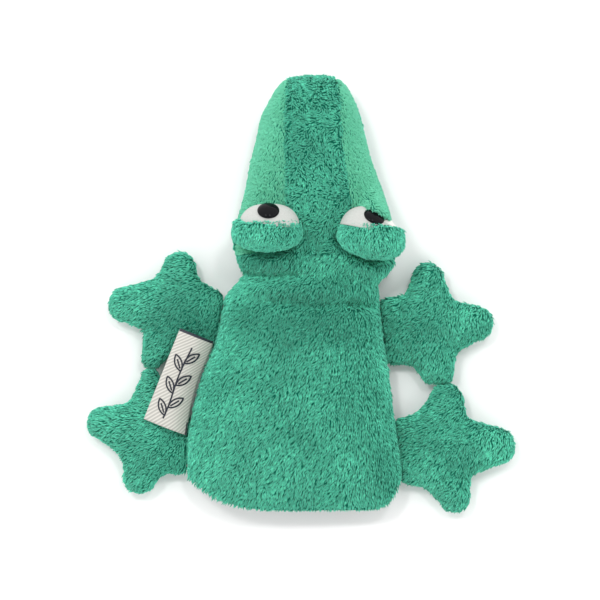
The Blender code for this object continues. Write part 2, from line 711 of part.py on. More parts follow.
def paw_layer(paw, inset, sign, rings, columns):
    """A layer of points from the palm's middle to the outline, above or below the paw's seam."""
    outline = paw_outline(paw, inset, columns)
    palm = np.array(paw["palm"][:2])
    points = [(*palm, PAW_SEAM_Z + sign * paw_height(paw, *palm, inset))]
    for share in rings:
        for x, y in palm + (outline - palm) * share:
            high = 0.0 if share == 1 else paw_height(paw, x, y, inset)
            points.append((x, y, PAW_SEAM_Z + sign * max(high, GAP / 2)))
    return points


def fan_and_rings(rings, columns, start):
    faces = [(start, start + 1 + c, start + 1 + (c + 1) % columns) for c in range(columns)]
    return faces + grid_faces(len(rings), columns, start + 1, True)


def paw_solid(name, near, far, rings, columns, slot):
    """A closed solid between two layers of a paw that share the pattern of their points."""
    count = len(near)
    edge = count - columns
    faces = fan_and_rings(rings, columns, 0)
    faces += [tuple(reversed(f)) for f in fan_and_rings(rings, columns, count)]
    for c in range(columns):
        n = (c + 1) % columns
        faces.append((edge + c, edge + n, count + edge + n, count + edge + c))
    new_object(name, near + far, faces, slot)


def make_paw(name, paw, plush, filling):
    rings, columns = PAW_RINGS, PAW_COLUMNS
    for sign, part in ((1, "upper"), (-1, "lower")):
        outer = paw_layer(paw, 0.0, sign, rings, columns)
        inner = paw_layer(paw, PLUSH, sign, rings, columns)
        paw_solid(f"{name}_{part}", outer, inner, rings, columns, plush)
    inside = PLUSH + FILLING_ROOM
    over = paw_layer(paw, inside, 1, rings, columns)
    under = paw_layer(paw, inside, -1, rings, columns)
    paw_solid(f"{name}_filling", over, under, rings, columns, filling)


# ---------------------------------------------------------------- label

def label_reach(fold, out):
    """Distance from a point of the folded edge back to the side seam."""
    reach = 10.0
    for _ in range(30):
        x, y = fold - out * reach
        reach += (seam_x(-1, y) - LABEL_GAP - x) / -out[0]
    return reach


def make_label(slot):
    """A woven ribbon folded in half, both ends in the left side seam."""
    turn = math.radians(LABEL_TURN)
    along = np.array([math.sin(turn), math.cos(turn)])
    out = np.array([-math.cos(turn), math.sin(turn)])
    bend = np.radians(np.linspace(90, -90, 9))[1:-1]
    outer, inner = [], []
    for d in np.linspace(0, LABEL_LENGTH, 5):
        fold = np.array(LABEL_FOLD) + along * d
        whole = label_reach(fold, out)
        reach = np.linspace(0, whole - LABEL_LOOP, 9)
        height = curve_through(LABEL_RISE, reach)
        spread = np.clip(reach / 8, 0, 1) * (LABEL_LOOP - LABEL_CLOTH) + LABEL_CLOTH / 2 + GAP / 2
        line = [(r, h + s) for r, h, s in zip(reach, height, spread)]
        line += [(reach[-1] + spread[-1] * math.cos(a), height[-1] + spread[-1] * math.sin(a)) for a in bend]
        line += [(r, h - s) for r, h, s in zip(reach[::-1], height[::-1], spread[::-1])]
        line = np.array(line)
        tangent = np.gradient(line, axis=0)
        tangent /= np.linalg.norm(tangent, axis=1)[:, None]
        normal = np.stack([-tangent[:, 1], tangent[:, 0]], axis=1) * LABEL_CLOTH / 2
        for side, rows in ((1, outer), (-1, inner)):
            edge = line + normal * side
            flat = fold[None, :] + out[None, :] * (edge[:, :1] - whole)
            rows.append(np.concatenate([flat, edge[:, 1:]], axis=1))
    cloth("woven_label", np.array(outer), np.array(inner), slot)


def main():
    clear_scene()
    plush = material("green_plush", GREEN, 0.95)
    velour = material("white_velour", WHITE, 0.9)
    plastic = material("black_plastic", BLACK, 0.08)
    nylon = material("washer_nylon", CREAM, 0.5)
    filling = material("polyester_filling", CREAM, 1.0)
    lining = material("lining_cloth", GREEN, 0.9)
    felt = material("mouth_felt", MOUTH, 1.0)
    foam = material("mouth_foam", CREAM, 0.9)
    ribbon = material("woven_ribbon", BEIGE, 0.6)
    make_torso(plush, lining)
    make_neck(plush)
    make_head(plush)
    make_mouth(plush, felt, foam)
    make_snout_filling(filling)
    make_eyes(plush, velour, filling, plastic, nylon, head_block())
    for name, paw in PAWS.items():
        make_paw(name, paw, plush, filling)
    make_label(ribbon)


main()
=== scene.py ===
"""Looks of the plush crocodile hand puppet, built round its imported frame.

Lengths are in millimetres and MM turns them into metres where a mesh is made.
+Z is up, +Y runs to the snout's tip and +X to the puppet's right as seen from above.
"""

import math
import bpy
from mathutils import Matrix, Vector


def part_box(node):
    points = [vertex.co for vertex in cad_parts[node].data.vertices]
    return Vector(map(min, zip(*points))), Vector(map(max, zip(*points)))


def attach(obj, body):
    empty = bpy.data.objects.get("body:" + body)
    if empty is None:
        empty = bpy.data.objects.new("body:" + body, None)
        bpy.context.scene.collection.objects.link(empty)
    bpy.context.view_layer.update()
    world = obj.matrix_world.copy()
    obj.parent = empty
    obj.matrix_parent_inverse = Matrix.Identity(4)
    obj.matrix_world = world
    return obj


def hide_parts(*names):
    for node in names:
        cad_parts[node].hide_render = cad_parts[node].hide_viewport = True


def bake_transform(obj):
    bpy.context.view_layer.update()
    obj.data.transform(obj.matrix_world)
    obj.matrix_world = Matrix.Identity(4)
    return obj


bl_info = {
    "name": "Crocodile Hand Puppet",
    "version": (1, 0, 0),
    "blender": (4, 5, 0),
    "location": "3D View > Sidebar > Puppet",
    "description": "Builds the plush, eyes, paws and label of a moving mouth hand puppet",
    "category": "Add Mesh",
}

import bmesh
import bpy
import numpy as np
from bpy.props import FloatProperty, FloatVectorProperty, PointerProperty
from mathutils import Vector

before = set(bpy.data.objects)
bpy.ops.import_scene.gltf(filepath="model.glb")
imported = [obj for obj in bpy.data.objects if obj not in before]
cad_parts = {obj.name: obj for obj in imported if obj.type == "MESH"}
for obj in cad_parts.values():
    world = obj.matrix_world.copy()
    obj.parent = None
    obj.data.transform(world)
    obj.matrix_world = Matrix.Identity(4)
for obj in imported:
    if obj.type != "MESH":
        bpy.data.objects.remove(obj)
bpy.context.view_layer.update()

MM = 0.001

# ---------------------------------------------------------------- the puppet's outline
TORSO_LEFT = [(-60, -56.0), (-35, -56.2), (-16, -55.4), (10, -49.6), (30, -41.6), (48, -38.4), (58, -36.4)]
TORSO_RIGHT = [(-60, 55.0), (-39, 54.8), (-12, 51.6), (10, 48.4), (34, 45.3), (53, 43.2), (58, 42.6)]
TORSO_TOP = [(-60, 19), (-45, 25), (-20, 30), (20, 31), (44, 30.0), (58, 28)]
HEM_Y = -58.3
HEM_RISE = 17.0
HEM_POWER = (3.0, 12)
HEM_IN = 2.5           # the pile hangs this far past the backing at the hem
SEAM_Z = 9.0
BACK_POWER = 2.3
BELLY_FLAT = 0.6
NECK_LEFT = [(48, -38.4), (54, -36.6), (59, -32.4), (62, -29.6), (66, -28.0), (70, -28.8), (76, -31.6)]
NECK_RIGHT = [(48, 43.6), (54, 43.0), (59, 42.0), (62, 42.6), (66, 46.4), (70, 50.2), (76, 52.2)]
NECK_TOP = [(50, 29.1), (58, 28), (66, 28.2), (76, 30.0)]
NECK_START_Y, NECK_MID_Y, NECK_END_Y = 52.0, 64.0, 76.0
HEAD_LEFT = [
    (74, -30.8), (80, -32.8), (86, -33.4), (94, -31.4), (104, -28.6), (115, -26.2), (125, -24.0),
    (135, -21.4), (146, -18.8), (156, -14.0), (162, -10.2), (166, -6.2), (167.2, -4.6),
]
HEAD_RIGHT = [
    (74, 52.0), (84, 52.4), (94, 50.6), (104, 47.3), (115, 43.2), (125, 39.7),
    (135, 37.4), (146, 34.8), (156, 30.9), (162, 26.8), (166, 22.6), (167.2, 21.0),
]
HEAD_RIDGE = [
    (74, 29.5), (88, 34.5), (104, 38.5), (125, 38.0), (145, 35.5),
    (157, 32.0), (165, 26.0), (168.2, 20.5), (168.4, 15.4),
]
GUSSET_LEFT = [(74, -8.0), (96, -5.8), (150, -5.6), (168, -4.6)]
GUSSET_RIGHT = [(74, 30.0), (104, 28.0), (125, 24.5), (145, 23.0), (156, 22.4), (168, 21.0)]
GUSSET_CROWN = 1.0
TIP_BOW = 1.8
SIDE_POWER = 1.6
LIP_Z = 15.0
JAW_START_Y, JAW_BOW_Y, JAW_END_Y = 86.0, 146.0, 166.0
JAW_LIP_Z = 14.4
JAW_INSET = 1.0
JAW_CORNER = 9.0
CHIN_BEND = 26.0       # how far along the chin the range passed with the chin panels reaches

SKIN_ROOM = 1.3        # from the frame's outer surface in to the backing cloth, room for the pile
BACKING = 1.0          # thickness of the backing cloth
COLUMNS = 96           # quads across the back and the head
MOST_TUFTS = 21500     # in one piece of pile
# Painted light and shade on a tuft's points, from shaded 0 to lit 1: three at the root, then the ridge and two
# flanks half way, then the tip
TUFT_PAINTED_LIGHT = (0.1, 0.0, 0.0, 1.0, 0.1, 0.1, 0.8)
SIDE_SHARE = 0.29      # share of the columns that one side panel of the snout takes
HEAD_ROOM = 1.9        # the same over the head, whose seams are softened
TORSO_ROWS, NECK_ROWS, HEAD_ROWS = 64, 29, 72
UNDER_COLUMNS = 61     # points across the belly, the chin and the throat
JAW_TIP_ROWS = 16      # rows that turn up round the jaw's tip
TROUGH_TURN = 0.3      # share of a trough's width in each of its rounded corners
BACK_LINING_IN, BELLY_LINING_IN = 3.3, 3.1
LINING_CLOTH = 0.5
PLATE_ROUNDING = 0.35  # on the edges of the plates in the mouth
SEAM_SOFTENING = 26    # rounds of smoothing across the head's panels

# ---------------------------------------------------------------- paws
PAW_SEAM_Z = 7.6
PAW_HALF = 7.4
PAW_EDGE = 11.0
PAW_BLEND = 0.9
PLANE_OUT = 0.9        # less room for pile where two paws touch
ROOT_IN = 3.0          # how far a paw's root reaches into the side seam
ROOT_SHARE = 0.3
ROOT_TAPER = 16.0
PAW_COLUMNS = 160      # points round a paw's outline
PAW_VOXEL = 1.4
PAW_SWELL = 1.3        # the furthest that stuffing moves a paw's cloth
STUFFING_PRESSURE, STUFFING_SHRINK, STUFFING_FRAMES = 3.0, -0.02, 15
# Circles as (x, y, radius); "limit" is the plane in Y that keeps the paws of one side apart
PAWS = {
    "front_paw_right": {
        "side": 1, "palm": (67.4, 37.0, 19.0), "arm": (44.0, 36.0, 18.4), "nap": 238,
        "fingers": [(68.3, 63.6, 8.4), (92.5, 40.0, 9.8), (74.7, 8.1, 6.6)], "limit": (9.2, 1),
    },
    "rear_paw_right": {
        "side": 1, "palm": (73.2, -24.9, 20.6), "arm": (49.0, -26.2, 17.6), "nap": 228,
        "fingers": [(77.6, 0.8, 9.0), (103.1, -23.9, 10.5), (81.7, -49.4, 8.8)], "limit": (8.7, -1),
    },
    "front_paw_left": {
        "side": -1, "palm": (-61.8, 48.0, 17.8), "arm": (-39.0, 40.8, 16.0), "nap": 218,
        "fingers": [(-59.8, 68.2, 9.1), (-86.7, 49.8, 10.2), (-73.7, 22.3, 6.3)], "limit": (16.4, 1),
    },
    "rear_paw_left": {
        "side": -1, "palm": (-72.9, -17.7, 20.4), "arm": (-52.0, -25.2, 15.4), "nap": 212,
        "fingers": [(-75.4, 12.6, 5.0), (-98.7, -11.8, 9.5), (-80.6, -39.0, 9.5)], "limit": (15.9, -1),
    },
}

# ---------------------------------------------------------------- eyes
EYES = {
    "left": {"centre": (-14.6, 89.0, 36.0), "radii": (17.8, 12.6, 14.6), "turn": 0.0, "look": (2.0, 42.0),
             "edge": 0.16, "slim": 0.91, "shift": 1.2, "cut": 0.0, "seat": (-13.8, 96.2, 44.8)},
    "right": {"centre": (38.6, 86.2, 35.6), "radii": (17.2, 13.4, 14.0), "turn": -12.0, "look": (26.0, 34.0),
              "edge": 0.26, "slim": 0.93, "shift": -1.8, "cut": 0.4, "seat": (38.9, 93.2, 42.8)},
}
MOAT_DEPTH = 4.2
BROW_AT, BROW_TURN = (43.6, 94.4), -27.0
BROW_HALF, BROW_SLOPE, BROW_TOP, BROW_FALL = 10.5, (1.2, 8.0), 49.0, 0.45
LID_FULLEST, LID_CLOSING = -0.32, 1.3
LID_IN = 1.0           # from the frame's lid in to its backing
WHITE_IN = 0.9
BUTTON_R = 5.6
BUTTON_H = 3.0
BUTTON_BASE = 0.25
STEM_R = 2.3
STEM_LENGTH = 7.4
VELOUR_CLOTH, LID_CLOTH = 0.9, 1.2
LID_SWELL = 0.6        # the furthest that stuffing moves a lid's cloth

# ---------------------------------------------------------------- label
LABEL_FOLD = (-77.9, -8.9)
LABEL_LENGTH = 50.0
LABEL_TURN = 22.3
LABEL_RISE = [(-3, 9.6), (0, 12.4), (5.0, 16.2), (11.0, 17.9), (22.0, 17.6)]
LABEL_LOOP = 1.1
LABEL_BAND = 1.9       # dark band along its upper end, in the colour of the ribbon's inside
RIBBON_CLOTH = 0.35
THREAD = 0.8           # width of an embroidered line
THREAD_HEIGHT = 0.14

# ---------------------------------------------------------------- camera, in metres
CAMERA_AT = (0.00208, 0.05208, 1.2)
CAMERA_FIELD = 0.3125  # width seen at the floor


# ---------------------------------------------------------------- painted shade and painted light on the pile
# ((x, y), (half width, half height), change of tone)
# Negative changes are painted shade over the torso's top, the neck, the bags by the eyes, the palms and a crease;
# positive ones are painted light on the lids, the outer fingers, the left side and the hem
PAINTED_SHADE_AND_LIGHT = (
    ((2, 40), (38, 13), -0.42), ((5, 57), (28, 7), -0.22), ((-13, 72), (15, 6), -0.42),
    ((36, 68), (12, 6), -0.1),
    ((-62, 44), (15, 14), -0.36), ((66, 42), (15, 13), -0.22), ((-60, -12), (10, 10), -0.15),
    ((66, -18), (12, 12), -0.12),
    ((-15, 84), (15, 7), 0.12), ((38, 82), (14, 7), 0.12), ((-40, -30), (16, 26), 0.12),
    ((10, -50), (40, 8), 0.08),
    ((92, 40), (9, 9), 0.14), ((102, -24), (10, 10), 0.16), ((-95, -10), (12, 12), 0.12),
    ((45, -22), (6, 20), -0.18),
)


# ================================================================ settings

class PuppetSettings(bpy.types.PropertyGroup):
    pile_length: FloatProperty(
        name="Pile Length",
        description="Length of the plush tufts",
        default=0.0029, unit="LENGTH", min=0.0005
    )
    pile_width: FloatProperty(
        name="Tuft Width",
        description="Width of one plush tuft at its root",
        default=0.00088, unit="LENGTH", min=0.0001
    )
    pile_density: FloatProperty(
        name="Tufts per Square mm",
        description="How many tufts grow on a square millimetre",
        default=1.55, min=0.1
    )
    tip_colour: FloatVectorProperty(
        name="Pile Tips",
        description="Colour of the tips of the plush", subtype="COLOR",
        default=(0.145, 0.80, 0.55)
    )
    # Painted shade deep in the pile: the tufts' roots and the backing cloth take this colour
    root_shade_colour: FloatVectorProperty(
        name="Pile Roots",
        description="Colour deep in the plush", subtype="COLOR",
        default=(0.002, 0.115, 0.072)
    )
    white_colour: FloatVectorProperty(
        name="Eye Velour",
        description="Colour of the white of the eyes", subtype="COLOR",
        default=(0.52, 0.53, 0.505)
    )
    button_colour: FloatVectorProperty(
        name="Eye Buttons",
        description="Colour of the domed eye buttons", subtype="COLOR",
        default=(0.004, 0.004, 0.005)
    )
    ribbon_colour: FloatVectorProperty(
        name="Label Ribbon",
        description="Colour of the woven label", subtype="COLOR",
        default=(0.62, 0.60, 0.55)
    )
    thread_colour: FloatVectorProperty(
        name="Label Thread", description="Colour of the label's pattern and back", subtype="COLOR",
        default=(0.005, 0.007, 0.014),
    )
    mouth_colour: FloatVectorProperty(
        name="Mouth Felt",
        description="Colour of the felt inside the mouth", subtype="COLOR",
        default=(0.5, 0.07, 0.06)
    )
    key_strength: FloatProperty(
        name="Key Light",
        description="Power of the softbox at the left",
        default=4.2, min=0.0, unit="POWER"
    )
    second_strength: FloatProperty(
        name="Second Light",
        description="Power of the softbox at the right",
        default=2.8, min=0.0, unit="POWER"
    )
    fill_strength: FloatProperty(
        name="Fill Light",
        description="Brightness of the white studio all round",
        default=1.4, min=0.0
    )


def settings():
    return bpy.context.scene.puppet


# ================================================================ small tools

def curve_through(points, at):
    """Values at `at` of a smooth curve through (place, value) pairs, level beyond both ends."""
    places = np.array([p[0] for p in points], float)
    values = np.array([p[1] for p in points], float)
    slopes = np.gradient(values, places)
    at = np.clip(at, places[0], places[-1])
    i = np.clip(np.searchsorted(places, at) - 1, 0, len(places) - 2)
    step = places[i + 1] - places[i]
    t = (at - places[i]) / step
    start = (2 * t**3 - 3 * t**2 + 1) * values[i] + (t**3 - 2 * t**2 + t) * step * slopes[i]
    end = (3 * t**2 - 2 * t**3) * values[i + 1] + (t**3 - t**2) * step * slopes[i + 1]
    return start + end


def path_through(points, start, count):
    """`count` points evenly spaced along a smooth path from share `start` of it, and the left normals there."""
    points = np.array(points, float)
    length = np.concatenate([[0], np.cumsum(np.linalg.norm(np.diff(points, axis=0), axis=1))])
    fine = np.linspace(0, length[-1], 600)
    line = np.stack([curve_through(list(zip(length, points[:, k])), fine) for k in range(2)], axis=1)
    run = np.concatenate([[0], np.cumsum(np.linalg.norm(np.diff(line, axis=0), axis=1))])
    where = np.linspace(start * run[-1], run[-1], count)
    even = np.stack([np.interp(where, run, line[:, k]) for k in range(2)], axis=1)
    tangent = np.gradient(even, axis=0)
    tangent /= np.linalg.norm(tangent, axis=1)[:, None]
    return even, np.stack([-tangent[:, 1], tangent[:, 0]], axis=1)


def ease(value, low, high):
    t = np.clip((value - low) / (high - low), 0, 1)
    return t * t * (3 - 2 * t)


def waves(points, size, seed):
    """Smooth noise from -1 to 1, the same each run, with features about `size` across."""
    rng = np.random.default_rng(seed)
    total = np.zeros(len(points))
    for _ in range(7):
        way = rng.normal(size=3)
        way *= rng.uniform(0.7, 1.5) * math.pi / size / np.linalg.norm(way)
        total += np.sin(points @ way + rng.uniform(0, math.tau))
    return np.clip(total / 3.2, -1, 1)


def unit(vectors):
    return vectors / np.maximum(np.linalg.norm(vectors, axis=-1, keepdims=True), 1e-9)


def new_piece(name, points, faces, *materials, smooth=True):
    """A mesh object from points in millimetres."""
    mesh = bpy.data.meshes.new(name)
    mesh.from_pydata((np.asarray(points, float) * MM).tolist(), [], faces)
    mesh.validate()
    if smooth:
        mesh.shade_smooth()
    piece = bpy.data.objects.new(name, mesh)
    bpy.context.scene.collection.objects.link(piece)
    for item in materials:
        mesh.materials.append(item)
    return piece


def grid_faces(rows, columns, wrap=False, start=0):
    faces = []
    for r in range(rows - 1):
        for c in range(columns if wrap else columns - 1):
            n = (c + 1) % columns
            faces.append((start + r * columns + c, start + r * columns + n,
                          start + (r + 1) * columns + n, start + (r + 1) * columns + c))
    return faces


def select_only(piece):
    bpy.ops.object.select_all(action="DESELECT")
    piece.select_set(True)
    bpy.context.view_layer.objects.active = piece


def face_outwards(piece):
    select_only(piece)
    bpy.ops.object.mode_set(mode="EDIT")
    bpy.ops.mesh.select_all(action="SELECT")
    bpy.ops.mesh.normals_make_consistent(inside=False)
    bpy.ops.object.mode_set(mode="OBJECT")


def apply_all(piece):
    select_only(piece)
    for step in list(piece.modifiers):
        bpy.ops.object.modifier_apply(modifier=step.name)


def give_thickness(piece, thickness):
    """Turns an open sheet into thin closed cloth, growing away from its faces' outer side."""
    step = piece.modifiers.new("cloth", "SOLIDIFY")
    step.thickness = thickness * MM
    step.offset = -1
    step.use_even_offset = False
    apply_all(piece)


def sheet_piece(name, grid, *materials, flip=False):
    """An open sheet from a grid of points, its faces up for a grid whose rows run to +Y and columns to +X."""
    rows, columns = grid.shape[:2]
    faces = grid_faces(rows, columns)
    if flip:
        faces = [tuple(reversed(f)) for f in faces]
    return new_piece(name, grid.reshape(-1, 3), faces, *materials)


# ================================================================ materials

FINISH = "_finish"     # ends the name of every material made here


def new_material(name):
    made = bpy.data.materials.new(name + FINISH)
    made.use_nodes = True
    tree = made.node_tree
    return made, tree, tree.nodes["Principled BSDF"]


def add_node(tree, kind, **values):
    made = tree.nodes.new(kind)
    for key, value in values.items():
        setattr(made, key, value)
    return made


def mix_colours(tree, factor, first, second):
    """A colour mix node; first and second are colours or sockets."""
    mixer = add_node(tree, "ShaderNodeMix", data_type="RGBA")
    tree.links.new(factor, mixer.inputs["Factor"])
    for socket, value in ((mixer.inputs[6], first), (mixer.inputs[7], second)):
        if hasattr(value, "node"):
            tree.links.new(value, socket)
        else:
            socket.default_value = (*value, 1.0)
    return mixer.outputs[2]


def noise(tree, scale, detail=2.0, stretch=(1, 1, 1), turn=0.0):
    """A noise texture on object coordinates, with features about 1 / scale metres across."""
    place = add_node(tree, "ShaderNodeTexCoord")
    fit = add_node(tree, "ShaderNodeMapping")
    fit.inputs["Scale"].default_value = stretch
    fit.inputs["Rotation"].default_value = (0, 0, turn)
    tree.links.new(place.outputs["Object"], fit.inputs["Vector"])
    made = add_node(tree, "ShaderNodeTexNoise")
    made.inputs["Scale"].default_value = scale
    made.inputs["Detail"].default_value = detail
    tree.links.new(fit.outputs["Vector"], made.inputs["Vector"])
    return made.outputs["Fac"]


def bump(tree, shader, height, strength, distance):
    made = add_node(tree, "ShaderNodeBump")
    made.inputs["Strength"].default_value = strength
    made.inputs["Distance"].default_value = distance
    tree.links.new(height, made.inputs["Height"])
    tree.links.new(made.outputs["Normal"], shader.inputs["Normal"])


def spread(tree, value, low, high):
    """Maps low to high of a value on to 0 to 1."""
    made = add_node(tree, "ShaderNodeMapRange")
    made.inputs["From Min"].default_value = low
    made.inputs["From Max"].default_value = high
    tree.links.new(value, made.inputs["Value"])
    return made.outputs["Result"]


def pile_material(name, tip, root, sheen):
    """Plush tufts: painted shade at the root and flanks, painted light on the ridge and tip, and no two tufts quite
    alike.
    """
    made, tree, shader = new_material(name)
    along = add_node(tree, "ShaderNodeAttribute", attribute_name="along")
    tone = add_node(tree, "ShaderNodeAttribute", attribute_name="tone")
    # Painted light times tone mixes the root's painted shade into the tip colour
    lit = add_node(tree, "ShaderNodeMath", operation="MULTIPLY")
    tree.links.new(spread(tree, along.outputs["Fac"], 0.0, 0.9), lit.inputs[0])
    tree.links.new(spread(tree, tone.outputs["Fac"], -0.6, 0.8), lit.inputs[1])
    colour = mix_colours(tree, lit.outputs[0], root, tip)
    # Tufts of high tone go paler: random tone, and painted light where the shading table raises it
    pale = tuple(min(1.0, c * 1.15 + 0.02) for c in tip)
    bright = mix_colours(tree, spread(tree, tone.outputs["Fac"], 0.6, 1.3), colour, pale)
    tree.links.new(bright, shader.inputs["Base Color"])
    shader.inputs["Roughness"].default_value = 0.75
    shader.inputs["Specular IOR Level"].default_value = 0.25
    shader.inputs["Sheen Weight"].default_value = sheen
    shader.inputs["Sheen Roughness"].default_value = 0.4
    shader.inputs["Sheen Tint"].default_value = (0.55, 0.95, 0.8, 1.0)
    return made


def backing_material(name, root):
    """The knitted cloth that the pile grows from, in the root colour: painted shade seen between the tufts."""
    made, tree, shader = new_material(name)
    light = tuple(min(1.0, c * 1.5 + 0.01) for c in root)
    knit = noise(tree, 900.0)
    tree.links.new(mix_colours(tree, knit, root, light), shader.inputs["Base Color"])
    shader.inputs["Roughness"].default_value = 0.95
    shader.inputs["Specular IOR Level"].default_value = 0.1
    bump(tree, shader, knit, 0.5, 0.0004)
    return made


def velour_material(name, colour):
    made, tree, shader = new_material(name)
    nap = noise(tree, 1500.0, 3.0)
    shade = tuple(c * 0.88 for c in colour)
    tree.links.new(mix_colours(tree, spread(tree, nap, 0.3, 0.7), shade, colour), shader.inputs["Base Color"])
    shader.inputs["Roughness"].default_value = 0.9
    shader.inputs["Sheen Weight"].default_value = 0.05
    bump(tree, shader, nap, 0.35, 0.0003)
    return made


def button_material(name, colour):
    """Polished moulded plastic with the faintest ripple."""
    made, tree, shader = new_material(name)
    ripple = noise(tree, 220.0, 1.0)
    lifted = tuple(c + 0.003 for c in colour)
    tree.links.new(mix_colours(tree, ripple, colour, lifted), shader.inputs["Base Color"])
    shader.inputs["Roughness"].default_value = 0.05
    shader.inputs["Specular IOR Level"].default_value = 0.1
    bump(tree, shader, ripple, 0.03, 0.0003)
    return made


def felt_material(name, colour):
    made, tree, shader = new_material(name)
    fibres = noise(tree, 700.0, 6.0, (1.0, 2.6, 1.0), 0.5)
    dark = tuple(c * 0.72 for c in colour)
    tree.links.new(mix_colours(tree, spread(tree, fibres, 0.3, 0.7), dark, colour), shader.inputs["Base Color"])
    shader.inputs["Roughness"].default_value = 0.95
    shader.inputs["Sheen Weight"].default_value = 0.3
    bump(tree, shader, fibres, 0.6, 0.0005)
    return made


def plain_cloth_material(name, colour, pitch):
    """A plain weave drawn from two crossed bands."""
    made, tree, shader = new_material(name)
    place = add_node(tree, "ShaderNodeTexCoord")
    threads = []
    for turn in (0.0, math.pi / 2):
        fit = add_node(tree, "ShaderNodeMapping")
        fit.inputs["Rotation"].default_value = (0, 0, turn)
        tree.links.new(place.outputs["Object"], fit.inputs["Vector"])
        band = add_node(tree, "ShaderNodeTexWave", wave_type="BANDS")
        band.inputs["Scale"].default_value = math.tau / 20 / (pitch * MM)
        band.inputs["Distortion"].default_value = 0.6
        tree.links.new(fit.outputs["Vector"], band.inputs["Vector"])
        threads.append(band.outputs["Fac"])
    weave = add_node(tree, "ShaderNodeMath", operation="MULTIPLY")
    for socket, thread in zip(weave.inputs, threads):
        tree.links.new(thread, socket)
    dark = tuple(c * 0.6 for c in colour)
    tree.links.new(mix_colours(tree, weave.outputs[0], dark, colour), shader.inputs["Base Color"])
    shader.inputs["Roughness"].default_value = 0.8
    bump(tree, shader, weave.outputs[0], 0.4, 0.0002)
    return made


def fibre_material(name, colour):
    made, tree, shader = new_material(name)
    strands = noise(tree, 300.0, 8.0, (1.0, 3.0, 1.0), 0.3)
    dark = tuple(c * 0.8 for c in colour)
    tree.links.new(mix_colours(tree, strands, dark, colour), shader.inputs["Base Color"])
    shader.inputs["Roughness"].default_value = 1.0
    bump(tree, shader, strands, 0.8, 0.001)
    return made


def foam_material(name, colour):
    made, tree, shader = new_material(name)
    place = add_node(tree, "ShaderNodeTexCoord")
    cells = add_node(tree, "ShaderNodeTexVoronoi")
    cells.inputs["Scale"].default_value = 1400.0
    tree.links.new(place.outputs["Object"], cells.inputs["Vector"])
    dark = tuple(c * 0.7 for c in colour)
    tree.links.new(mix_colours(tree, cells.outputs["Distance"], dark, colour), shader.inputs["Base Color"])
    shader.inputs["Roughness"].default_value = 0.9
    bump(tree, shader, cells.outputs["Distance"], 0.5, 0.0004)
    return made


def ribbon_material(name, colour, thread):
    """Ribbed woven ribbon: ribs slanting over it, light outside, dark inside the fold and on the band."""
    made, tree, shader = new_material(name)
    place = add_node(tree, "ShaderNodeUVMap", uv_map="ribbon")
    ribs = add_node(tree, "ShaderNodeTexWave", wave_type="BANDS", bands_direction="DIAGONAL")
    ribs.inputs["Scale"].default_value = 3.1
    ribs.inputs["Distortion"].default_value = 0.25
    tree.links.new(place.outputs["UV"], ribs.inputs["Vector"])
    dark = tuple(c * 0.62 for c in colour)
    outside = mix_colours(tree, ribs.outputs["Fac"], dark, colour)
    back = add_node(tree, "ShaderNodeAttribute", attribute_name="back")
    inside = mix_colours(tree, ribs.outputs["Fac"], thread, tuple(c * 3 + 0.01 for c in thread))
    tree.links.new(mix_colours(tree, back.outputs["Fac"], outside, inside), shader.inputs["Base Color"])
    shader.inputs["Roughness"].default_value = 0.5
    shader.inputs["Sheen Weight"].default_value = 0.2
    bump(tree, shader, ribs.outputs["Fac"], 0.5, 0.0002)
    return made


def thread_material(name, colour):
    made, tree, shader = new_material(name)
    strands = noise(tree, 1800.0, 2.0, (1.0, 6.0, 1.0), 0.4)
    light = tuple(c * 2 + 0.004 for c in colour)
    tree.links.new(mix_colours(tree, strands, colour, light), shader.inputs["Base Color"])
    shader.inputs["Roughness"].default_value = 0.55
    bump(tree, shader, strands, 0.4, 0.0002)
    return made


def floor_material(name):
    made, tree, shader = new_material(name)
    grain = noise(tree, 3.0)
    tree.links.new(mix_colours(tree, grain, (0.93, 0.93, 0.93), (0.95, 0.95, 0.95)), shader.inputs["Base Color"])
    shader.inputs["Roughness"].default_value = 1.0
    shader.inputs["Specular IOR Level"].default_value = 0.0
    return made


def material(name):
    """The named finish, made the first time it is asked for."""
    found = bpy.data.materials.get(name + FINISH)
    if found:
        return found
    s = settings()
    tip, root = tuple(s.tip_colour), tuple(s.root_shade_colour)
    makers = {
        "plush_pile": lambda: pile_material(name, tip, root, 0.15),
        # Snout sides: roots close to the tip colour, so only slight painted shade in the pile
        "snout_pile": lambda: pile_material(
            name, (0.15, 0.60, 0.39), (0.12, 0.53, 0.34), 0.2
        ),
        "plush_backing": lambda: backing_material(name, root),
        "white_velour": lambda: velour_material(name, tuple(s.white_colour)),
        "black_button": lambda: button_material(name, tuple(s.button_colour)),
        "mouth_felt": lambda: felt_material(name, tuple(s.mouth_colour)),
        "lining_cloth": lambda: plain_cloth_material(name, (0.05, 0.36, 0.24), 0.7),
        "filling_fibre": lambda: fibre_material(name, (0.85, 0.84, 0.8)),
        "mouth_foam": lambda: foam_material(name, (0.8, 0.78, 0.7)),
        "washer_nylon": lambda: velour_material(name, (0.8, 0.78, 0.7)),
        "label_ribbon": lambda: ribbon_material(name, tuple(s.ribbon_colour), tuple(s.thread_colour)),
        "label_thread": lambda: thread_material(name, tuple(s.thread_colour)),
        "studio_floor": lambda: floor_material(name),
    }
    return makers[name]()


# ================================================================ pile

def painted_shade_and_light(x, y):
    """How much lighter or darker the pile is painted: painted shade over folds, creases and palms, painted light on
    raised parts.
    """
    return sum(mound(x, y, place, size, change) for place, size, change in PAINTED_SHADE_AND_LIGHT)


def nap_direction(degrees):
    a = math.radians(degrees)
    return np.array([math.cos(a), math.sin(a), 0.0])


def even_nap(degrees):
    """A nap that lies one way all over."""
    return lambda points: np.tile(nap_direction(degrees), (len(points), 1))


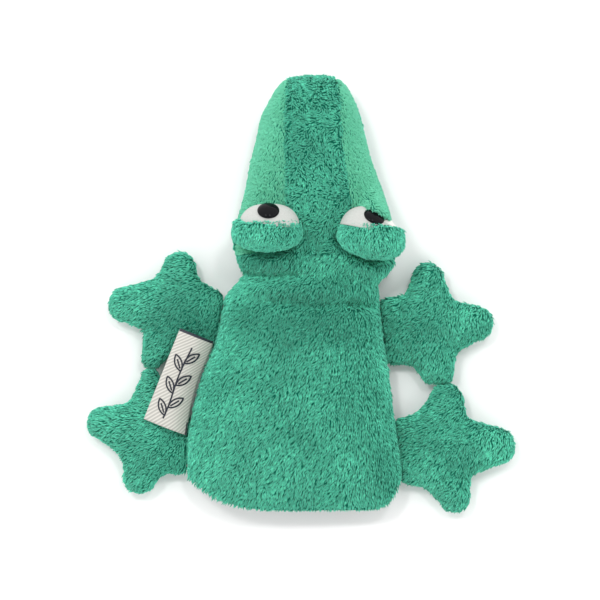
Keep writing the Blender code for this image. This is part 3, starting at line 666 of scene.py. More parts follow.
def grow_pile(name, skin, nap, seed, density=1.0, length=1.0, width=1.0, lift=27.0, curl=1.0, slot="plush_pile",
              keep=None):
    """Tufts of plush over a skin's faces, as meshes of small bent cones; a big pile comes in several.

    nap(points) gives the nap's direction at points in millimetres; lift is the tufts' angle off the cloth in
    degrees; curl scales how much neighbours differ; keep(points, normals) leaves tufts out where it is false.
    """
    s = settings()
    rng = np.random.default_rng(seed)
    mesh = skin.data
    mesh.calc_loop_triangles()
    corners = np.empty(len(mesh.vertices) * 3, np.float32)
    mesh.vertices.foreach_get("co", corners)
    corners = corners.reshape(-1, 3).astype(float) / MM
    triangles = np.empty(len(mesh.loop_triangles) * 3, np.int32)
    mesh.loop_triangles.foreach_get("vertices", triangles)
    a, b, c = (corners[triangles.reshape(-1, 3)[:, k]] for k in range(3))
    normal = np.cross(b - a, c - a)
    area = np.linalg.norm(normal, axis=1) / 2
    share = area / area.sum()
    count = int(area.sum() * s.pile_density * density)
    # One tuft to each equal step of area, so the cover is even
    step = (np.arange(count) + rng.uniform(0, 1, count)) / count
    chosen = np.searchsorted(np.cumsum(share), step).clip(0, len(share) - 1)
    u, v = rng.uniform(0, 1, (2, count))
    over = u + v > 1
    u[over], v[over] = 1 - u[over], 1 - v[over]
    root = a[chosen] + (b - a)[chosen] * u[:, None] + (c - a)[chosen] * v[:, None]
    up = unit(normal[chosen])
    if keep is not None:
        kept = keep(root, up)
        root, up = root[kept], up[kept]
        count = len(root)
    flow = nap(root)
    flow = unit(flow - up * (flow * up).sum(1)[:, None] + 1e-6)
    aside = np.cross(up, flow)
    clump = waves(root, 3.2, seed + 1) * 0.35 + waves(root, 9.0, seed + 2) * 0.4 + rng.normal(0, 0.12, count)
    swing = clump * 0.5 * curl
    flow = flow * np.cos(swing)[:, None] + aside * np.sin(swing)[:, None]
    aside = np.cross(up, flow)
    rise = np.radians(lift + 16 * curl * waves(root, 2.0, seed + 3) + rng.normal(0, 6, count))
    rise = np.clip(rise, 0.12, 1.45)
    long = s.pile_length / MM * length * rng.uniform(0.75, 1.2, count) * (1 + 0.12 * waves(root, 4.0, seed + 4))
    long *= 1 - 0.6 * (1 - ease(root[:, 1], HEM_Y + 2, HEM_Y + 8)) * (np.abs(root[:, 0]) < 54)
    wide = s.pile_width / MM / 2 * width * rng.uniform(0.8, 1.25, count)
    first = flow * np.cos(rise)[:, None] + up * np.sin(rise)[:, None]
    bend = rise - np.radians(rng.uniform(5, 30, count))
    second = flow * np.cos(bend)[:, None] + up * np.sin(bend)[:, None]
    second = unit(second + aside * rng.normal(0, 0.3 * curl, count)[:, None])
    middle = root + first * (0.5 * long)[:, None]
    tip = middle + second * (0.5 * long)[:, None]
    base = root - up * 0.25
    tones = 0.5 + 0.1 * waves(root, 3.0, seed + 5) + 0.12 * waves(root, 16.0, seed + 6)
    tones = tones + rng.normal(0, 0.13, count)
    # Painted shade and painted light added to the tufts' tones, region by region
    tones = np.clip(tones + painted_shade_and_light(root[:, 0], root[:, 1]), 0, 1.2)
    points = np.empty((count, 7, 3))
    for k in range(3):
        angle = math.tau * k / 3 + math.pi / 2
        around = aside * math.cos(angle) + np.cross(first, aside) * math.sin(angle)
        points[:, k] = base + around * wide[:, None]
        points[:, 3 + k] = middle + around * (0.86 * wide)[:, None]
    points[:, 6] = tip
    parts = math.ceil(count / MOST_TUFTS)
    share_out = np.array_split(np.argsort(root[:, 0], kind="stable"), parts)
    names = [name] if parts == 1 else [f"{name}_{i + 1}" for i in range(parts)]
    return [tuft_mesh(n, points[take], tones[take], slot) for n, take in zip(names, share_out)]


def tuft_mesh(name, points, tones, slot):
    """One object from tufts of seven points: three at the root, three half way and the tip."""
    count = len(points)
    sides = [(0, 1, 4, 3), (1, 2, 5, 4), (2, 0, 3, 5)]
    ends = [(3, 4, 6), (4, 5, 6), (5, 3, 6)]
    pattern = np.array([i for f in sides + ends for i in f])
    loops = (np.arange(count)[:, None] * 7 + pattern[None, :]).ravel()
    totals = np.tile([4, 4, 4, 3, 3, 3], count)
    pile = bpy.data.meshes.new(name)
    pile.vertices.add(count * 7)
    pile.vertices.foreach_set("co", (points.reshape(-1) * MM).astype(np.float32))
    pile.loops.add(len(loops))
    pile.loops.foreach_set("vertex_index", loops.astype(np.int32))
    pile.polygons.add(len(totals))
    pile.polygons.foreach_set("loop_start", np.concatenate([[0], np.cumsum(totals)[:-1]]).astype(np.int32))
    # The along attribute carries painted light and shade: shaded roots and flanks, a lit ridge and tip
    along = pile.attributes.new("along", "FLOAT", "POINT")
    along.data.foreach_set("value", np.tile(TUFT_PAINTED_LIGHT, count).astype(np.float32))
    tone = pile.attributes.new("tone", "FLOAT", "POINT")
    tone.data.foreach_set("value", np.repeat(tones, 7).astype(np.float32))
    pile.update(calc_edges=True)
    pile.shade_smooth()
    pile.materials.append(material(slot))
    piece = bpy.data.objects.new(name, pile)
    bpy.context.scene.collection.objects.link(piece)
    return piece


# ================================================================ surfaces of the torso, neck and head

def arch(left, right, seam_z, top_z, power, share):
    """A rounded arch, at shares 0 to 1 from the left seam to the right one."""
    angle = math.pi * share
    c, s = np.cos(angle), np.sin(angle)
    across = -np.sign(c) * np.abs(c) ** (2 / power)
    up = np.abs(s) ** (2 / power)
    middle, half = (left + right) / 2, (right - left) / 2
    return middle + half * across, seam_z + (top_z - seam_z) * up


def trough(left, right, seam_z, low_z, corner, share):
    """A flat-bottomed trough with rounded corners, at shares 0 to 1 from the left seam to the right one."""
    middle, half = (left + right) / 2, (right - left) / 2
    turn = TROUGH_TURN
    angle = np.clip(np.minimum(share, 1 - share) / turn, 0, 1) * math.pi / 2
    along = np.clip((share - turn) / (1 - 2 * turn), 0, 1)
    side = np.where(share < 0.5, -1, 1)
    inner = (share > turn) & (share < 1 - turn)
    x = np.where(inner, middle + (half - corner) * (2 * along - 1),
                 middle + side * (half - corner + corner * np.cos(angle)))
    return x, seam_z - (seam_z - low_z) * np.sin(angle)


def section_share():
    """Shares across the back at which each column lies, the gusset's seams among them."""
    return np.linspace(0, 1, COLUMNS + 1)


def head_section(seam_left, seam_right, lip_left, lip_right, lip_z, ridge_z, crown, share):
    """One row over the head: side panel, gusset, side panel. Seams and lips are (x, y) points."""
    out = np.zeros((len(share), 3))
    for i, t in enumerate(share):
        if SIDE_SHARE <= t <= 1 - SIDE_SHARE:
            u = (t - SIDE_SHARE) / (1 - 2 * SIDE_SHARE)
            b = 2 * u - 1
            out[i, :2] = seam_left + (seam_right - seam_left) * u
            out[i, 2] = ridge_z - crown * b * b
        else:
            near = t < SIDE_SHARE
            seam, lip = (seam_left, lip_left) if near else (seam_right, lip_right)
            a = (1 - (t if near else 1 - t) / SIDE_SHARE) * math.pi / 2
            out[i, :2] = seam + (lip - seam) * math.sin(a) ** (2 / SIDE_POWER)
            high = max(ridge_z - crown, lip_z + 1.6)
            out[i, 2] = lip_z + (high - lip_z) * math.cos(a) ** (2 / SIDE_POWER)
    return out


def torso_rows(rows, inset):
    share = section_share()
    across = np.abs(np.cos(math.pi * share)) ** (2 / BACK_POWER)
    hem = HEM_Y + HEM_IN + HEM_RISE * across ** np.where(share < 0.5, *HEM_POWER)
    grid = np.zeros((rows, len(share), 3))
    for r, t in enumerate(np.linspace(0, 1, rows)):
        y = hem + (NECK_START_Y - hem) * t
        left = curve_through(TORSO_LEFT, y) + inset
        right = curve_through(TORSO_RIGHT, y) - inset
        x, z = arch(left, right, SEAM_Z, curve_through(TORSO_TOP, y) - inset, BACK_POWER, share)
        grid[r] = np.stack([x, y, z], axis=1)
    return grid


def neck_rows(rows, inset):
    """Rows over the neck, whose section changes from the torso's arch to the head's three panels."""
    share = section_share()
    grid = np.zeros((rows, len(share), 3))
    for r, y in enumerate(np.linspace(NECK_START_Y, NECK_END_Y, rows)):
        left = curve_through(NECK_LEFT, y) + inset
        right = curve_through(NECK_RIGHT, y) - inset
        top = curve_through(TORSO_TOP if y < 58 else NECK_TOP, y)
        seam_z = SEAM_Z + (LIP_Z - SEAM_Z) * ease(y, 56, 76)
        x, z = arch(left, right, seam_z, top - inset, BACK_POWER, share)
        torso = np.stack([x, np.full_like(x, y), z], axis=1)
        seams = [np.array([curve_through(t, 74.0), y]) for t in (GUSSET_LEFT, GUSSET_RIGHT)]
        lips = [np.array([left, y]), np.array([right, y])]
        head = head_section(*seams, *lips, seam_z, top - inset, GUSSET_CROWN, share)
        mix = ease(y, 56, 76)
        grid[r] = torso * (1 - mix) + head * mix
    return grid


def head_rows(rows, inset):
    """Rows over the head, from the neck over the snout's tip to the upper lip."""
    share = section_share()
    begin = (NECK_END_Y - 74) / 102.0
    ridge, ridge_normal = path_through(HEAD_RIDGE, begin, rows)
    ridge = ridge - ridge_normal * inset
    lips = []
    for side, table in ((-1, HEAD_LEFT), (1, HEAD_RIGHT)):
        line, normal = path_through([(x, y) for y, x in table], begin * 1.04, rows)
        outward = normal * -side
        outward[:, 0] *= 1 - np.linspace(0, 1, rows) ** 8
        line = line - outward * inset
        line[0, 1] = NECK_END_Y
        lips.append(line)
    grid = np.zeros((rows, len(share), 3))
    for r in range(rows):
        y, z = ridge[r]
        if r == 0:
            y = NECK_END_Y
        bow = np.clip((y - 150) / 18, 0, 1) * TIP_BOW
        seams = [np.array([curve_through(t, y), y - bow]) for t in (GUSSET_LEFT, GUSSET_RIGHT)]
        upright = 1 - r / (rows - 1)
        row = head_section(*seams, lips[0][r], lips[1][r], LIP_Z, z, GUSSET_CROWN * upright, share)
        inner = (share >= SIDE_SHARE) & (share <= 1 - SIDE_SHARE)
        b = 2 * (share[inner] - SIDE_SHARE) / (1 - 2 * SIDE_SHARE) - 1
        row[inner, 1] += bow * (1 - b * b)
        grid[r] = row
    return grid


def crease(x, y, start, end, depth, width, bow=0.0):
    """Depth of a soft valley along the line from start to end, bowed sideways by `bow` at its middle."""
    start, end = np.array(start), np.array(end)
    line = end - start
    size = np.linalg.norm(line)
    way = line / size
    t = ((x - start[0]) * way[0] + (y - start[1]) * way[1]) / size
    off = -(x - start[0]) * way[1] + (y - start[1]) * way[0] - bow * 4 * t * (1 - t)
    ends = ease(t, -0.12, 0.15) * (1 - ease(t, 0.85, 1.12))
    return -depth * ends * np.exp(-((off / width) ** 2))


def mound(x, y, centre, radii, height, turn=0.0):
    """Height of a soft oval bulge."""
    a = math.radians(turn)
    dx, dy = x - centre[0], y - centre[1]
    u = (dx * math.cos(a) + dy * math.sin(a)) / radii[0]
    v = (-dx * math.sin(a) + dy * math.cos(a)) / radii[1]
    return height * np.exp(-((u * u + v * v) ** 1.5))


def relief(x, y):
    """The folds and bags of the cloth over the back, neck and forehead, as a height."""
    total = crease(x, y, (-18, 52.5), (38, 51.0), 2.0, 2.8, -2.0)
    total += crease(x, y, (26, 51.0), (42, 48.5), 2.6, 2.4)
    total += mound(x, y, (12, 58.0), (34, 5.5), 3.2)
    total += crease(x, y, (-28, 66.0), (3, 65.0), 2.0, 2.2, -1.0)
    total += mound(x, y, (-13, 71.5), (17, 5.5), 3.4)
    total += crease(x, y, (1, 68), (8, 84), 2.6, 2.0)
    total += crease(x, y, (7, 70), (14, 80), 1.0, 1.8)
    total += mound(x, y, (38, 69.5), (12, 8.0), 3.2, -18)
    total += crease(x, y, (22, 60), (31, 76), 1.6, 2.8)
    total += crease(x, y, (45, -2), (51, -36), 1.8, 4.5)
    total += mound(x, y, (-20, -20), (26, 30), 1.0)
    for eye in EYES.values():
        total += moat(x, y, eye)
    return total


def moat(x, y, eye):
    """The valley that the cloth falls into behind an eye's lid."""
    a = math.radians(eye["turn"])
    dx, dy = x - eye["centre"][0], y - eye["centre"][1]
    u = (dx * math.cos(a) + dy * math.sin(a)) / eye["radii"][0]
    v = (-dx * math.sin(a) + dy * math.cos(a)) / eye["radii"][1]
    return -MOAT_DEPTH * np.exp(-(((np.hypot(u, v) - 1.02) / 0.13) ** 2)) * ease(-v, 0.0, 0.5)


def raise_brow(points):
    """Lifts the brow's cloth ahead of the right eye until it stands over the eye's button."""
    a = math.radians(BROW_TURN)
    dx, dy = points[:, 0] - BROW_AT[0], points[:, 1] - BROW_AT[1]
    u = dx * math.cos(a) + dy * math.sin(a)
    v = -dx * math.sin(a) + dy * math.cos(a)
    front = np.where(v > 0, v / BROW_SLOPE[1], v / BROW_SLOPE[0])
    share = np.exp(-((u / BROW_HALF) ** 4) - front**2) * ease(points[:, 2], LIP_Z, LIP_Z + 6)
    points[:, 2] += np.maximum(BROW_TOP - BROW_FALL * (u + BROW_HALF) - points[:, 2], 0) * share


def folded(grid):
    """The grid with the cloth's folds raised out of it, mostly where it faces up."""
    flat = grid.reshape(-1, 3)
    rows = np.gradient(grid, axis=0)
    columns = np.gradient(grid, axis=1)
    normal = unit(np.cross(columns, rows)).reshape(-1, 3)
    height = relief(flat[:, 0], flat[:, 1]) * np.clip(normal[:, 2], 0, 1) ** 0.5
    height += waves(flat, 22.0, 41) * 0.45
    flat = flat + normal * height[:, None]
    raise_brow(flat)
    return flat.reshape(grid.shape)


def upper_grid():
    """The whole upper skin, from the hem to the upper lip, with the row numbers where its pieces part."""
    torso = torso_rows(TORSO_ROWS, SKIN_ROOM)
    neck = neck_rows(NECK_ROWS, SKIN_ROOM)
    head = head_rows(HEAD_ROWS, HEAD_ROOM)
    grid = np.concatenate([torso, neck[1:], head[1:]])
    first = TORSO_ROWS - 1
    marks = (first, first + (NECK_ROWS - 1) // 2, first + NECK_ROWS - 1)
    for _ in range(SEAM_SOFTENING):
        part = grid[marks[1]:]
        part[:, 1:-1] += 0.25 * (part[:, 2:] + part[:, :-2] - 2 * part[:, 1:-1])
    grid = folded(grid)
    seam_columns = [round(SIDE_SHARE * COLUMNS), COLUMNS - round(SIDE_SHARE * COLUMNS)]
    share = np.arange(COLUMNS + 1)
    for seam in seam_columns:
        groove = np.exp(-(((share - seam) / 1.0) ** 2)) * 0.7
        along = ease(np.arange(len(grid)), marks[2] + 10, marks[2] + 24)
        grid[:, :, 2] -= groove[None, :] * along[:, None]
    return grid, marks


def back_nap(points):
    """Brushed down the back towards the hem, slanting to the left, straighter on the right."""
    turn = np.radians(242 + 30 * ease(points[:, 0], 12, 44) + 10 * ease(-points[:, 1], 35, 58))
    return np.stack([np.cos(turn), np.sin(turn), np.zeros(len(points))], axis=1)


def gusset_nap(points):
    turn = np.radians(250 + 70 * waves(points, 6.0, 77))
    return np.stack([np.cos(turn), np.sin(turn), np.zeros(len(points))], axis=1)


def side_nap(points):
    side = np.where(points[:, 0] > 9, 1.0, -1.0)
    return np.stack([side * 0.25, np.full(len(points), -1.0), np.full(len(points), -0.25)], axis=1)


def sewn_sheet(name, grid, pile, body, nodes, blend=None, flip=False):
    """One plush panel: its backing cloth, its pile and what they stand for."""
    skin = sheet_piece(name, grid, material("plush_backing"), flip=flip)
    tufts = grow_pile(name + "_pile", skin, **pile)
    give_thickness(skin, BACKING)
    for piece in (skin, *tufts):
        if blend:
            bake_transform(piece)
        else:
            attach(piece, body)
        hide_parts(*nodes)


def build_torso():
    grid, marks = upper_grid()
    sewn_sheet(
        "back_panel", grid[: marks[0] + 1],
        {"nap": back_nap, "seed": 11, "density": 1.0}, "torso", ["body_back"],
    )
    belly = belly_rows(40, SKIN_ROOM * 0.2)
    sewn_sheet(
        "belly_panel", belly,
        {"nap": even_nap(262), "seed": 12, "density": 0.45, "length": 0.6, "width": 1.3, "lift": 14.0},
        "torso", ["body_belly"], flip=True,
    )
    for name, rows, node, flip in (
        ("back_lining", torso_rows(40, BACK_LINING_IN), "lining_back", False),
        ("belly_lining", belly_rows(30, BELLY_LINING_IN), "lining_belly", True),
    ):
        rows = rows[1:]
        if not flip:
            rows[:, 1:-1, 2] -= 4.0 * ease(rows[:, 1:-1, 1], 28, 46) * np.clip(rows[:, 1:-1, 2] / 12 - 1, 0, 1)
        lining = sheet_piece(name, rows, material("lining_cloth"), flip=flip)
        give_thickness(lining, LINING_CLOTH)
        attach(lining, "torso")
        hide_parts(node)


def belly_rows(rows, inset, start=None, end=NECK_START_Y, neck=False):
    """Rows under the torso or the neck, from the left seam to the right one."""
    share = np.linspace(0, 1, UNDER_COLUMNS)
    grid = np.zeros((rows, len(share), 3))
    turn = TROUGH_TURN
    angle = np.clip(np.minimum(share, 1 - share) / turn, 0, 1) * math.pi / 2
    across = np.where(
        np.minimum(share, 1 - share) < turn, BELLY_FLAT + (1 - BELLY_FLAT) * np.cos(angle),
        BELLY_FLAT * np.abs(2 * share - 1) / (1 - 2 * turn),
    )
    hem = HEM_Y + HEM_IN + 1.0 + HEM_RISE * across ** np.where(share < 0.5, *HEM_POWER)
    first = hem if start is None else np.full_like(share, start)
    for r, t in enumerate(np.linspace(0, 1, rows)):
        y = first + (end - first) * t
        left = curve_through(NECK_LEFT if neck else TORSO_LEFT, y) + SKIN_ROOM + inset * 0.5
        right = curve_through(NECK_RIGHT if neck else TORSO_RIGHT, y) - SKIN_ROOM - inset * 0.5
        seam_z = SEAM_Z + (LIP_Z - SEAM_Z) * ease(y, 56, 76)
        corner = (right - left) / 2 * (1 - BELLY_FLAT)
        x, z = trough(left, right, seam_z, inset, corner, share)
        grid[r] = np.stack([x, y, z], axis=1)
    return grid


def build_neck():
    """The plush neck in two lengths, rear and front, each with a top and an under panel left in place."""
    grid, marks = upper_grid()
    lengths = (
        ("neck_rear", marks[0], marks[1], NECK_START_Y, NECK_MID_Y, ("torso", "neck")),
        ("neck_front", marks[1], marks[2], NECK_MID_Y, NECK_END_Y, ("neck", "head")),
    )
    for i, (name, first, last, start, end, bodies) in enumerate(lengths):
        blend = (*bodies, (0, start * MM, 0), (0, end * MM, 0))
        sewn_sheet(
            name + "_top", grid[first:last + 1],
            {"nap": back_nap, "seed": 21 + i, "density": 1.05}, bodies[1], ["neck_sleeve"], blend,
        )
        under = belly_rows(9, 0.3, start, end, True)
        sewn_sheet(
            name + "_under", under,
            {"nap": even_nap(262), "seed": 25 + i, "density": 0.5, "width": 1.3, "length": 0.7, "lift": 16.0},
            bodies[1], ["neck_sleeve"], blend, flip=True,
        )


def build_head():
    grid, marks = upper_grid()
    head = grid[marks[2]:]
    cut = round(SIDE_SHARE * COLUMNS)
    sewn_sheet(
        "snout_gusset", head[:, cut:COLUMNS - cut + 1],
        {"nap": gusset_nap, "seed": 31, "density": 1.25, "length": 0.78, "width": 0.9, "lift": 44.0, "curl": 1.3},
        "head", ["head_gusset"],
    )
    for name, part, seed in (("left", head[:, : cut + 1], 32), ("right", head[:, COLUMNS - cut:], 33)):
        sewn_sheet(
            f"snout_side_{name}", part,
            {"nap": side_nap, "seed": seed, "density": 1.5, "length": 0.7, "width": 0.85, "lift": 14.0, "curl": 0.4,
             "slot": "snout_pile"},
            "head", [f"head_side_{name}"],
        )


# ================================================================ the lower jaw and the mouth

def jaw_rows(rows, inset):
    """Rows under the lower jaw, from its rear end round the tip up to the lip."""
    share = np.linspace(0, 1, UNDER_COLUMNS)
    straight = rows - JAW_TIP_ROWS
    grid = np.zeros((rows, len(share), 3))
    for r in range(rows):
        if r < straight:
            rise = 0.0
            y = outline_y = JAW_START_Y + (JAW_BOW_Y - JAW_START_Y) * r / straight
        else:
            rise = math.radians(86) * (r - straight) / (rows - 1 - straight)
            y = JAW_BOW_Y + (JAW_END_Y - inset - JAW_BOW_Y) * math.sin(rise)
            outline_y = JAW_BOW_Y + (JAW_END_Y - JAW_BOW_Y) * math.sin(rise)
        left = curve_through(HEAD_LEFT, outline_y) + JAW_INSET + inset + 0.6
        right = curve_through(HEAD_RIGHT, outline_y) - JAW_INSET - inset - 0.6
        low = JAW_LIP_Z - (JAW_LIP_Z - inset) * math.cos(rise)
        x, z = trough(left, right, JAW_LIP_Z, low, JAW_CORNER, share)
        grid[r] = np.stack([x, np.full_like(x, y), z], axis=1)
    return grid


def build_jaw():
    pile = {"nap": even_nap(264), "density": 0.5, "length": 0.7, "width": 1.3, "lift": 18.0}
    bend = ("head", "lower_jaw", (0, NECK_END_Y * MM, 0), (0, (JAW_START_Y + CHIN_BEND) * MM, 0))
    sewn_sheet(
        "chin_panel", jaw_rows(48, 0.4), {**pile, "seed": 41},
        "lower_jaw", ["lower_jaw_plush"], bend, flip=True,
    )
    share = np.linspace(0, 1, UNDER_COLUMNS)
    rows = np.zeros((9, len(share), 3))
    for r, t in enumerate(np.linspace(0, 1, 9)):
        y = NECK_END_Y + (JAW_START_Y - NECK_END_Y) * t
        left = (curve_through(NECK_LEFT, y) if y < 76 else curve_through(HEAD_LEFT, y)) + 0.7 + 0.9 * t
        right = (curve_through(NECK_RIGHT, y) if y < 76 else curve_through(HEAD_RIGHT, y)) - 0.7 - 0.9 * t
        corner = (right - left) / 2 * (1 - BELLY_FLAT) * (1 - t) + JAW_CORNER * t
        x, z = trough(left, right, LIP_Z + (JAW_LIP_Z - LIP_Z) * t, 0.3, corner, share)
        rows[r] = np.stack([x, np.full_like(x, y), z], axis=1)
    sewn_sheet(
        "throat_panel", rows, {**pile, "seed": 42},
        "lower_jaw", ["throat_plush"], bend, flip=True,
    )


def mouth_plate(name, node, body, slot):
    """A felt or foam plate with softly rounded edges, over its node's outline."""
    low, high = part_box(node)
    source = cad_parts[node].data
    points = np.array([v.co for v in source.vertices]) / MM
    outline = points[points[:, 2] > (low.z + high.z) / 2 / MM]
    middle = outline.mean(0)
    angle = np.arctan2(outline[:, 1] - middle[1], outline[:, 0] - middle[0])
    outline = outline[np.argsort(angle)]
    keep = [0]
    for i in range(1, len(outline)):
        if np.linalg.norm(outline[i] - outline[keep[-1]]) > 0.5:
            keep.append(i)
    outline = outline[keep]
    z0, z1 = low.z / MM, high.z / MM
    base = [(x, y, z0) for x, y, _ in outline]
    mesh = bpy.data.meshes.new(name)
    piece = bpy.data.objects.new(name, mesh)
    bpy.context.scene.collection.objects.link(piece)
    shape = bmesh.new()
    face = shape.faces.new([shape.verts.new(np.array(p) * MM) for p in base])
    extruded = bmesh.ops.extrude_face_region(shape, geom=[face])
    top = [v for v in extruded["geom"] if isinstance(v, bmesh.types.BMVert)]
    bmesh.ops.translate(shape, verts=top, vec=(0, 0, (z1 - z0) * MM))
    bmesh.ops.recalc_face_normals(shape, faces=shape.faces)
    rim = [e for e in shape.edges if abs(e.verts[0].co.z - e.verts[1].co.z) < 1e-7]
    bmesh.ops.bevel(shape, geom=rim, offset=PLATE_ROUNDING * MM, segments=3, affect="EDGES")
    shape.to_mesh(mesh)
    shape.free()
    mesh.shade_smooth()
    mesh.set_sharp_from_angle(angle=math.radians(50))
    mesh.materials.append(material(slot))
    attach(piece, body)
    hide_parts(node)


def build_mouth():
    for node, body in (("palate_upper", "head"), ("palate_lower", "lower_jaw")):
        mouth_plate(node.replace("palate", "palate_felt"), node, body, "mouth_felt")
    for node, body in (("mouth_foam_upper", "head"), ("mouth_foam_lower", "lower_jaw")):
        mouth_plate(node.replace("mouth_foam", "stiffener"), node, body, "mouth_foam")


# ================================================================ eyes

def turn_about_z(degrees):
    a = math.radians(degrees)
    return np.array([[math.cos(a), -math.sin(a), 0], [math.sin(a), math.cos(a), 0], [0, 0, 1.0]])


def placed(eye, points, grow):
    """Points of the unit dome set on an eye whose radii are `grow` larger."""
    return np.array(eye["centre"]) + points * (np.array(eye["radii"]) + grow) @ turn_about_z(eye["turn"]).T


def white_grid(eye, rows, columns):
    """The white's dome from under the lid's edge to the front; slimmer than the lid, cut back at one side."""
    first = math.acos(eye["edge"]) + 0.2
    b = np.linspace(0, math.tau, columns, endpoint=False)
    grid = np.zeros((rows, columns, 3))
    for r in range(rows):
        a = first * (1 - r / (rows - 1) * 0.995)
        x, y, z = math.sin(a) * np.cos(b), np.full_like(b, math.cos(a)), math.sin(a) * np.sin(b)
        full = (np.abs(x) ** 2.5 + np.abs(y) ** 2.5 + np.abs(z) ** 2.5) ** (-1 / 2.5)
        x, y = x * (1 + full) / 2, y * full
        y = y * (1 - eye["cut"] * ease(x, -0.45, 0.55))
        grid[r] = np.stack([x * eye["slim"] + eye["shift"] / eye["radii"][0], y, z * 0.97], axis=1)
    return placed(eye, grid, -WHITE_IN)


def lid_grid(eye, rows, columns):
    """The lid's dome from its rolled front edge to the rear."""
    last = math.pi - math.acos(eye["edge"])
    b = np.linspace(0, math.tau, columns, endpoint=False)
    rim = ((0.76, 0.02), (0.84, 0.06), (0.91, 0.06), (0.965, 0.03))
    wide = math.sqrt(1 - ((eye["edge"] - LID_FULLEST) / LID_CLOSING) ** 2)
    rings = [(share * wide, eye["edge"] + ahead) for share, ahead in rim]
    for a in last * (1 - np.linspace(0, 1, rows) * 0.995):
        ahead = -math.cos(a)
        reach = 1 + LID_FULLEST if ahead < LID_FULLEST else LID_CLOSING
        rings.append((math.sqrt(1 - ((ahead - LID_FULLEST) / reach) ** 2), ahead))
    grid = np.array([
        np.stack([out * np.cos(b), np.full_like(b, y), out * np.sin(b)], axis=1) for out, y in rings
    ])
    sag = 0.05 * np.sin(2.0 * b + 0.6) + 0.02 * np.sin(5.0 * b)
    grid[:, :, 1] += sag[None, :] * np.exp(-((np.arange(len(grid)) - 4) / 4.0)[:, None] ** 2)
    return placed(eye, grid, -LID_IN)


def dome_piece(name, grid, slot, flip):
    """A closed-ended cap from a grid whose rows are rings."""
    rows, columns = grid.shape[:2]
    faces = grid_faces(rows, columns, True)
    faces.append(tuple((rows - 1) * columns + c for c in range(columns)))
    if flip:
        faces = [tuple(reversed(f)) for f in faces]
    return new_piece(name, grid.reshape(-1, 3), faces, material(slot))


def eye_seat(eye):
    """Where the eye button sits, and the way it faces."""
    aside, up = (math.radians(a) for a in eye["look"])
    facing = np.array([math.sin(aside) * math.cos(up), math.cos(aside) * math.cos(up), math.sin(up)])
    return np.array(eye["seat"]), facing


def build_button(name, eye):
    """A polished dome with a rolled rim on a short stem, as one turned solid."""
    seat, facing = eye_seat(eye)
    low, rim = BUTTON_BASE, BUTTON_BASE + 0.6
    profile = [(0.0, -STEM_LENGTH), (STEM_R, -STEM_LENGTH), (STEM_R, low), (BUTTON_R * 0.9, low)]
    profile += [(BUTTON_R * 0.98, low + 0.2), (BUTTON_R, rim)]
    for a in np.radians(np.linspace(8, 90, 12)):
        profile.append((BUTTON_R * math.cos(a), rim + (BUTTON_H - 0.6) * math.sin(a)))
    mesh = bpy.data.meshes.new(name)
    piece = bpy.data.objects.new(name, mesh)
    bpy.context.scene.collection.objects.link(piece)
    shape = bmesh.new()
    verts = [shape.verts.new((r * MM, 0, h * MM)) for r, h in profile]
    edges = [shape.edges.new(pair) for pair in zip(verts, verts[1:])]
    bmesh.ops.spin(
        shape, geom=verts + edges, axis=(0, 0, 1), cent=(0, 0, 0), angle=math.tau, steps=48, use_merge=True
    )
    bmesh.ops.remove_doubles(shape, verts=shape.verts, dist=1e-6)
    bmesh.ops.recalc_face_normals(shape, faces=shape.faces)
    shape.to_mesh(mesh)
    shape.free()
    side = unit(np.cross((0.0, 0.0, 1.0), facing))
    other = np.cross(facing, side)
    co = np.array([v.co for v in mesh.vertices])
    placed = seat * MM + co[:, :1] * side + co[:, 1:2] * other + co[:, 2:] * facing
    mesh.vertices.foreach_set("co", placed.astype(np.float32).ravel())
    mesh.shade_smooth()
    mesh.set_sharp_from_angle(angle=math.radians(50))
    mesh.materials.append(material("black_button"))
    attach(piece, "head")
    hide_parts("eye_button_" + name.split("_")[-1])


def build_eyes():
    for i, (name, eye) in enumerate(EYES.items()):
        white = dome_piece(f"eye_velour_{name}", white_grid(eye, 22, 72), "white_velour", True)
        give_thickness(white, VELOUR_CLOTH)
        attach(white, "head")
        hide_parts(f"eye_white_{name}")
        lid = dome_piece(f"lid_{name}", lid_grid(eye, 26, 72), "plush_backing", False)
        stuff(lid, LID_SWELL)
        pile = grow_pile(
            f"lid_{name}_pile", lid, even_nap(246 if name == "left" else 262), 53 + i,
            density=1.2, length=0.8, lift=24.0,
        )
        give_thickness(lid, LID_CLOTH)
        for piece in (lid, *pile):
            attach(piece, "head")
            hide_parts(f"eyelid_{name}")
        build_button(f"button_{name}", eye)


# ================================================================ paws

def seam_x(side, y):
    return curve_through(TORSO_RIGHT if side > 0 else TORSO_LEFT, y)


def paw_distance(paw, x, y):
    """Signed distance to a paw's outline, negative inside it."""
    palm, near_r = np.array(paw["palm"][:2]), paw["palm"][2]
    total = 0.0
    for end_x, end_y, far_r in (paw["arm"], *paw["fingers"]):
        line = np.array((end_x, end_y)) - palm
        t = np.clip(((x - palm[0]) * line[0] + (y - palm[1]) * line[1]) / (line @ line), 0, 1)
        gap = np.hypot(x - palm[0] - line[0] * t, y - palm[1] - line[1] * t)
        total = total + np.exp(-(gap - near_r - (far_r - near_r) * t) / PAW_BLEND)
    body = -PAW_BLEND * np.log(total)
    root = -ROOT_IN - (x - seam_x(paw["side"], y)) * paw["side"]
    plane, way = paw["limit"]
    return np.maximum(np.maximum(body, root), (plane - y) * way - PLANE_OUT)


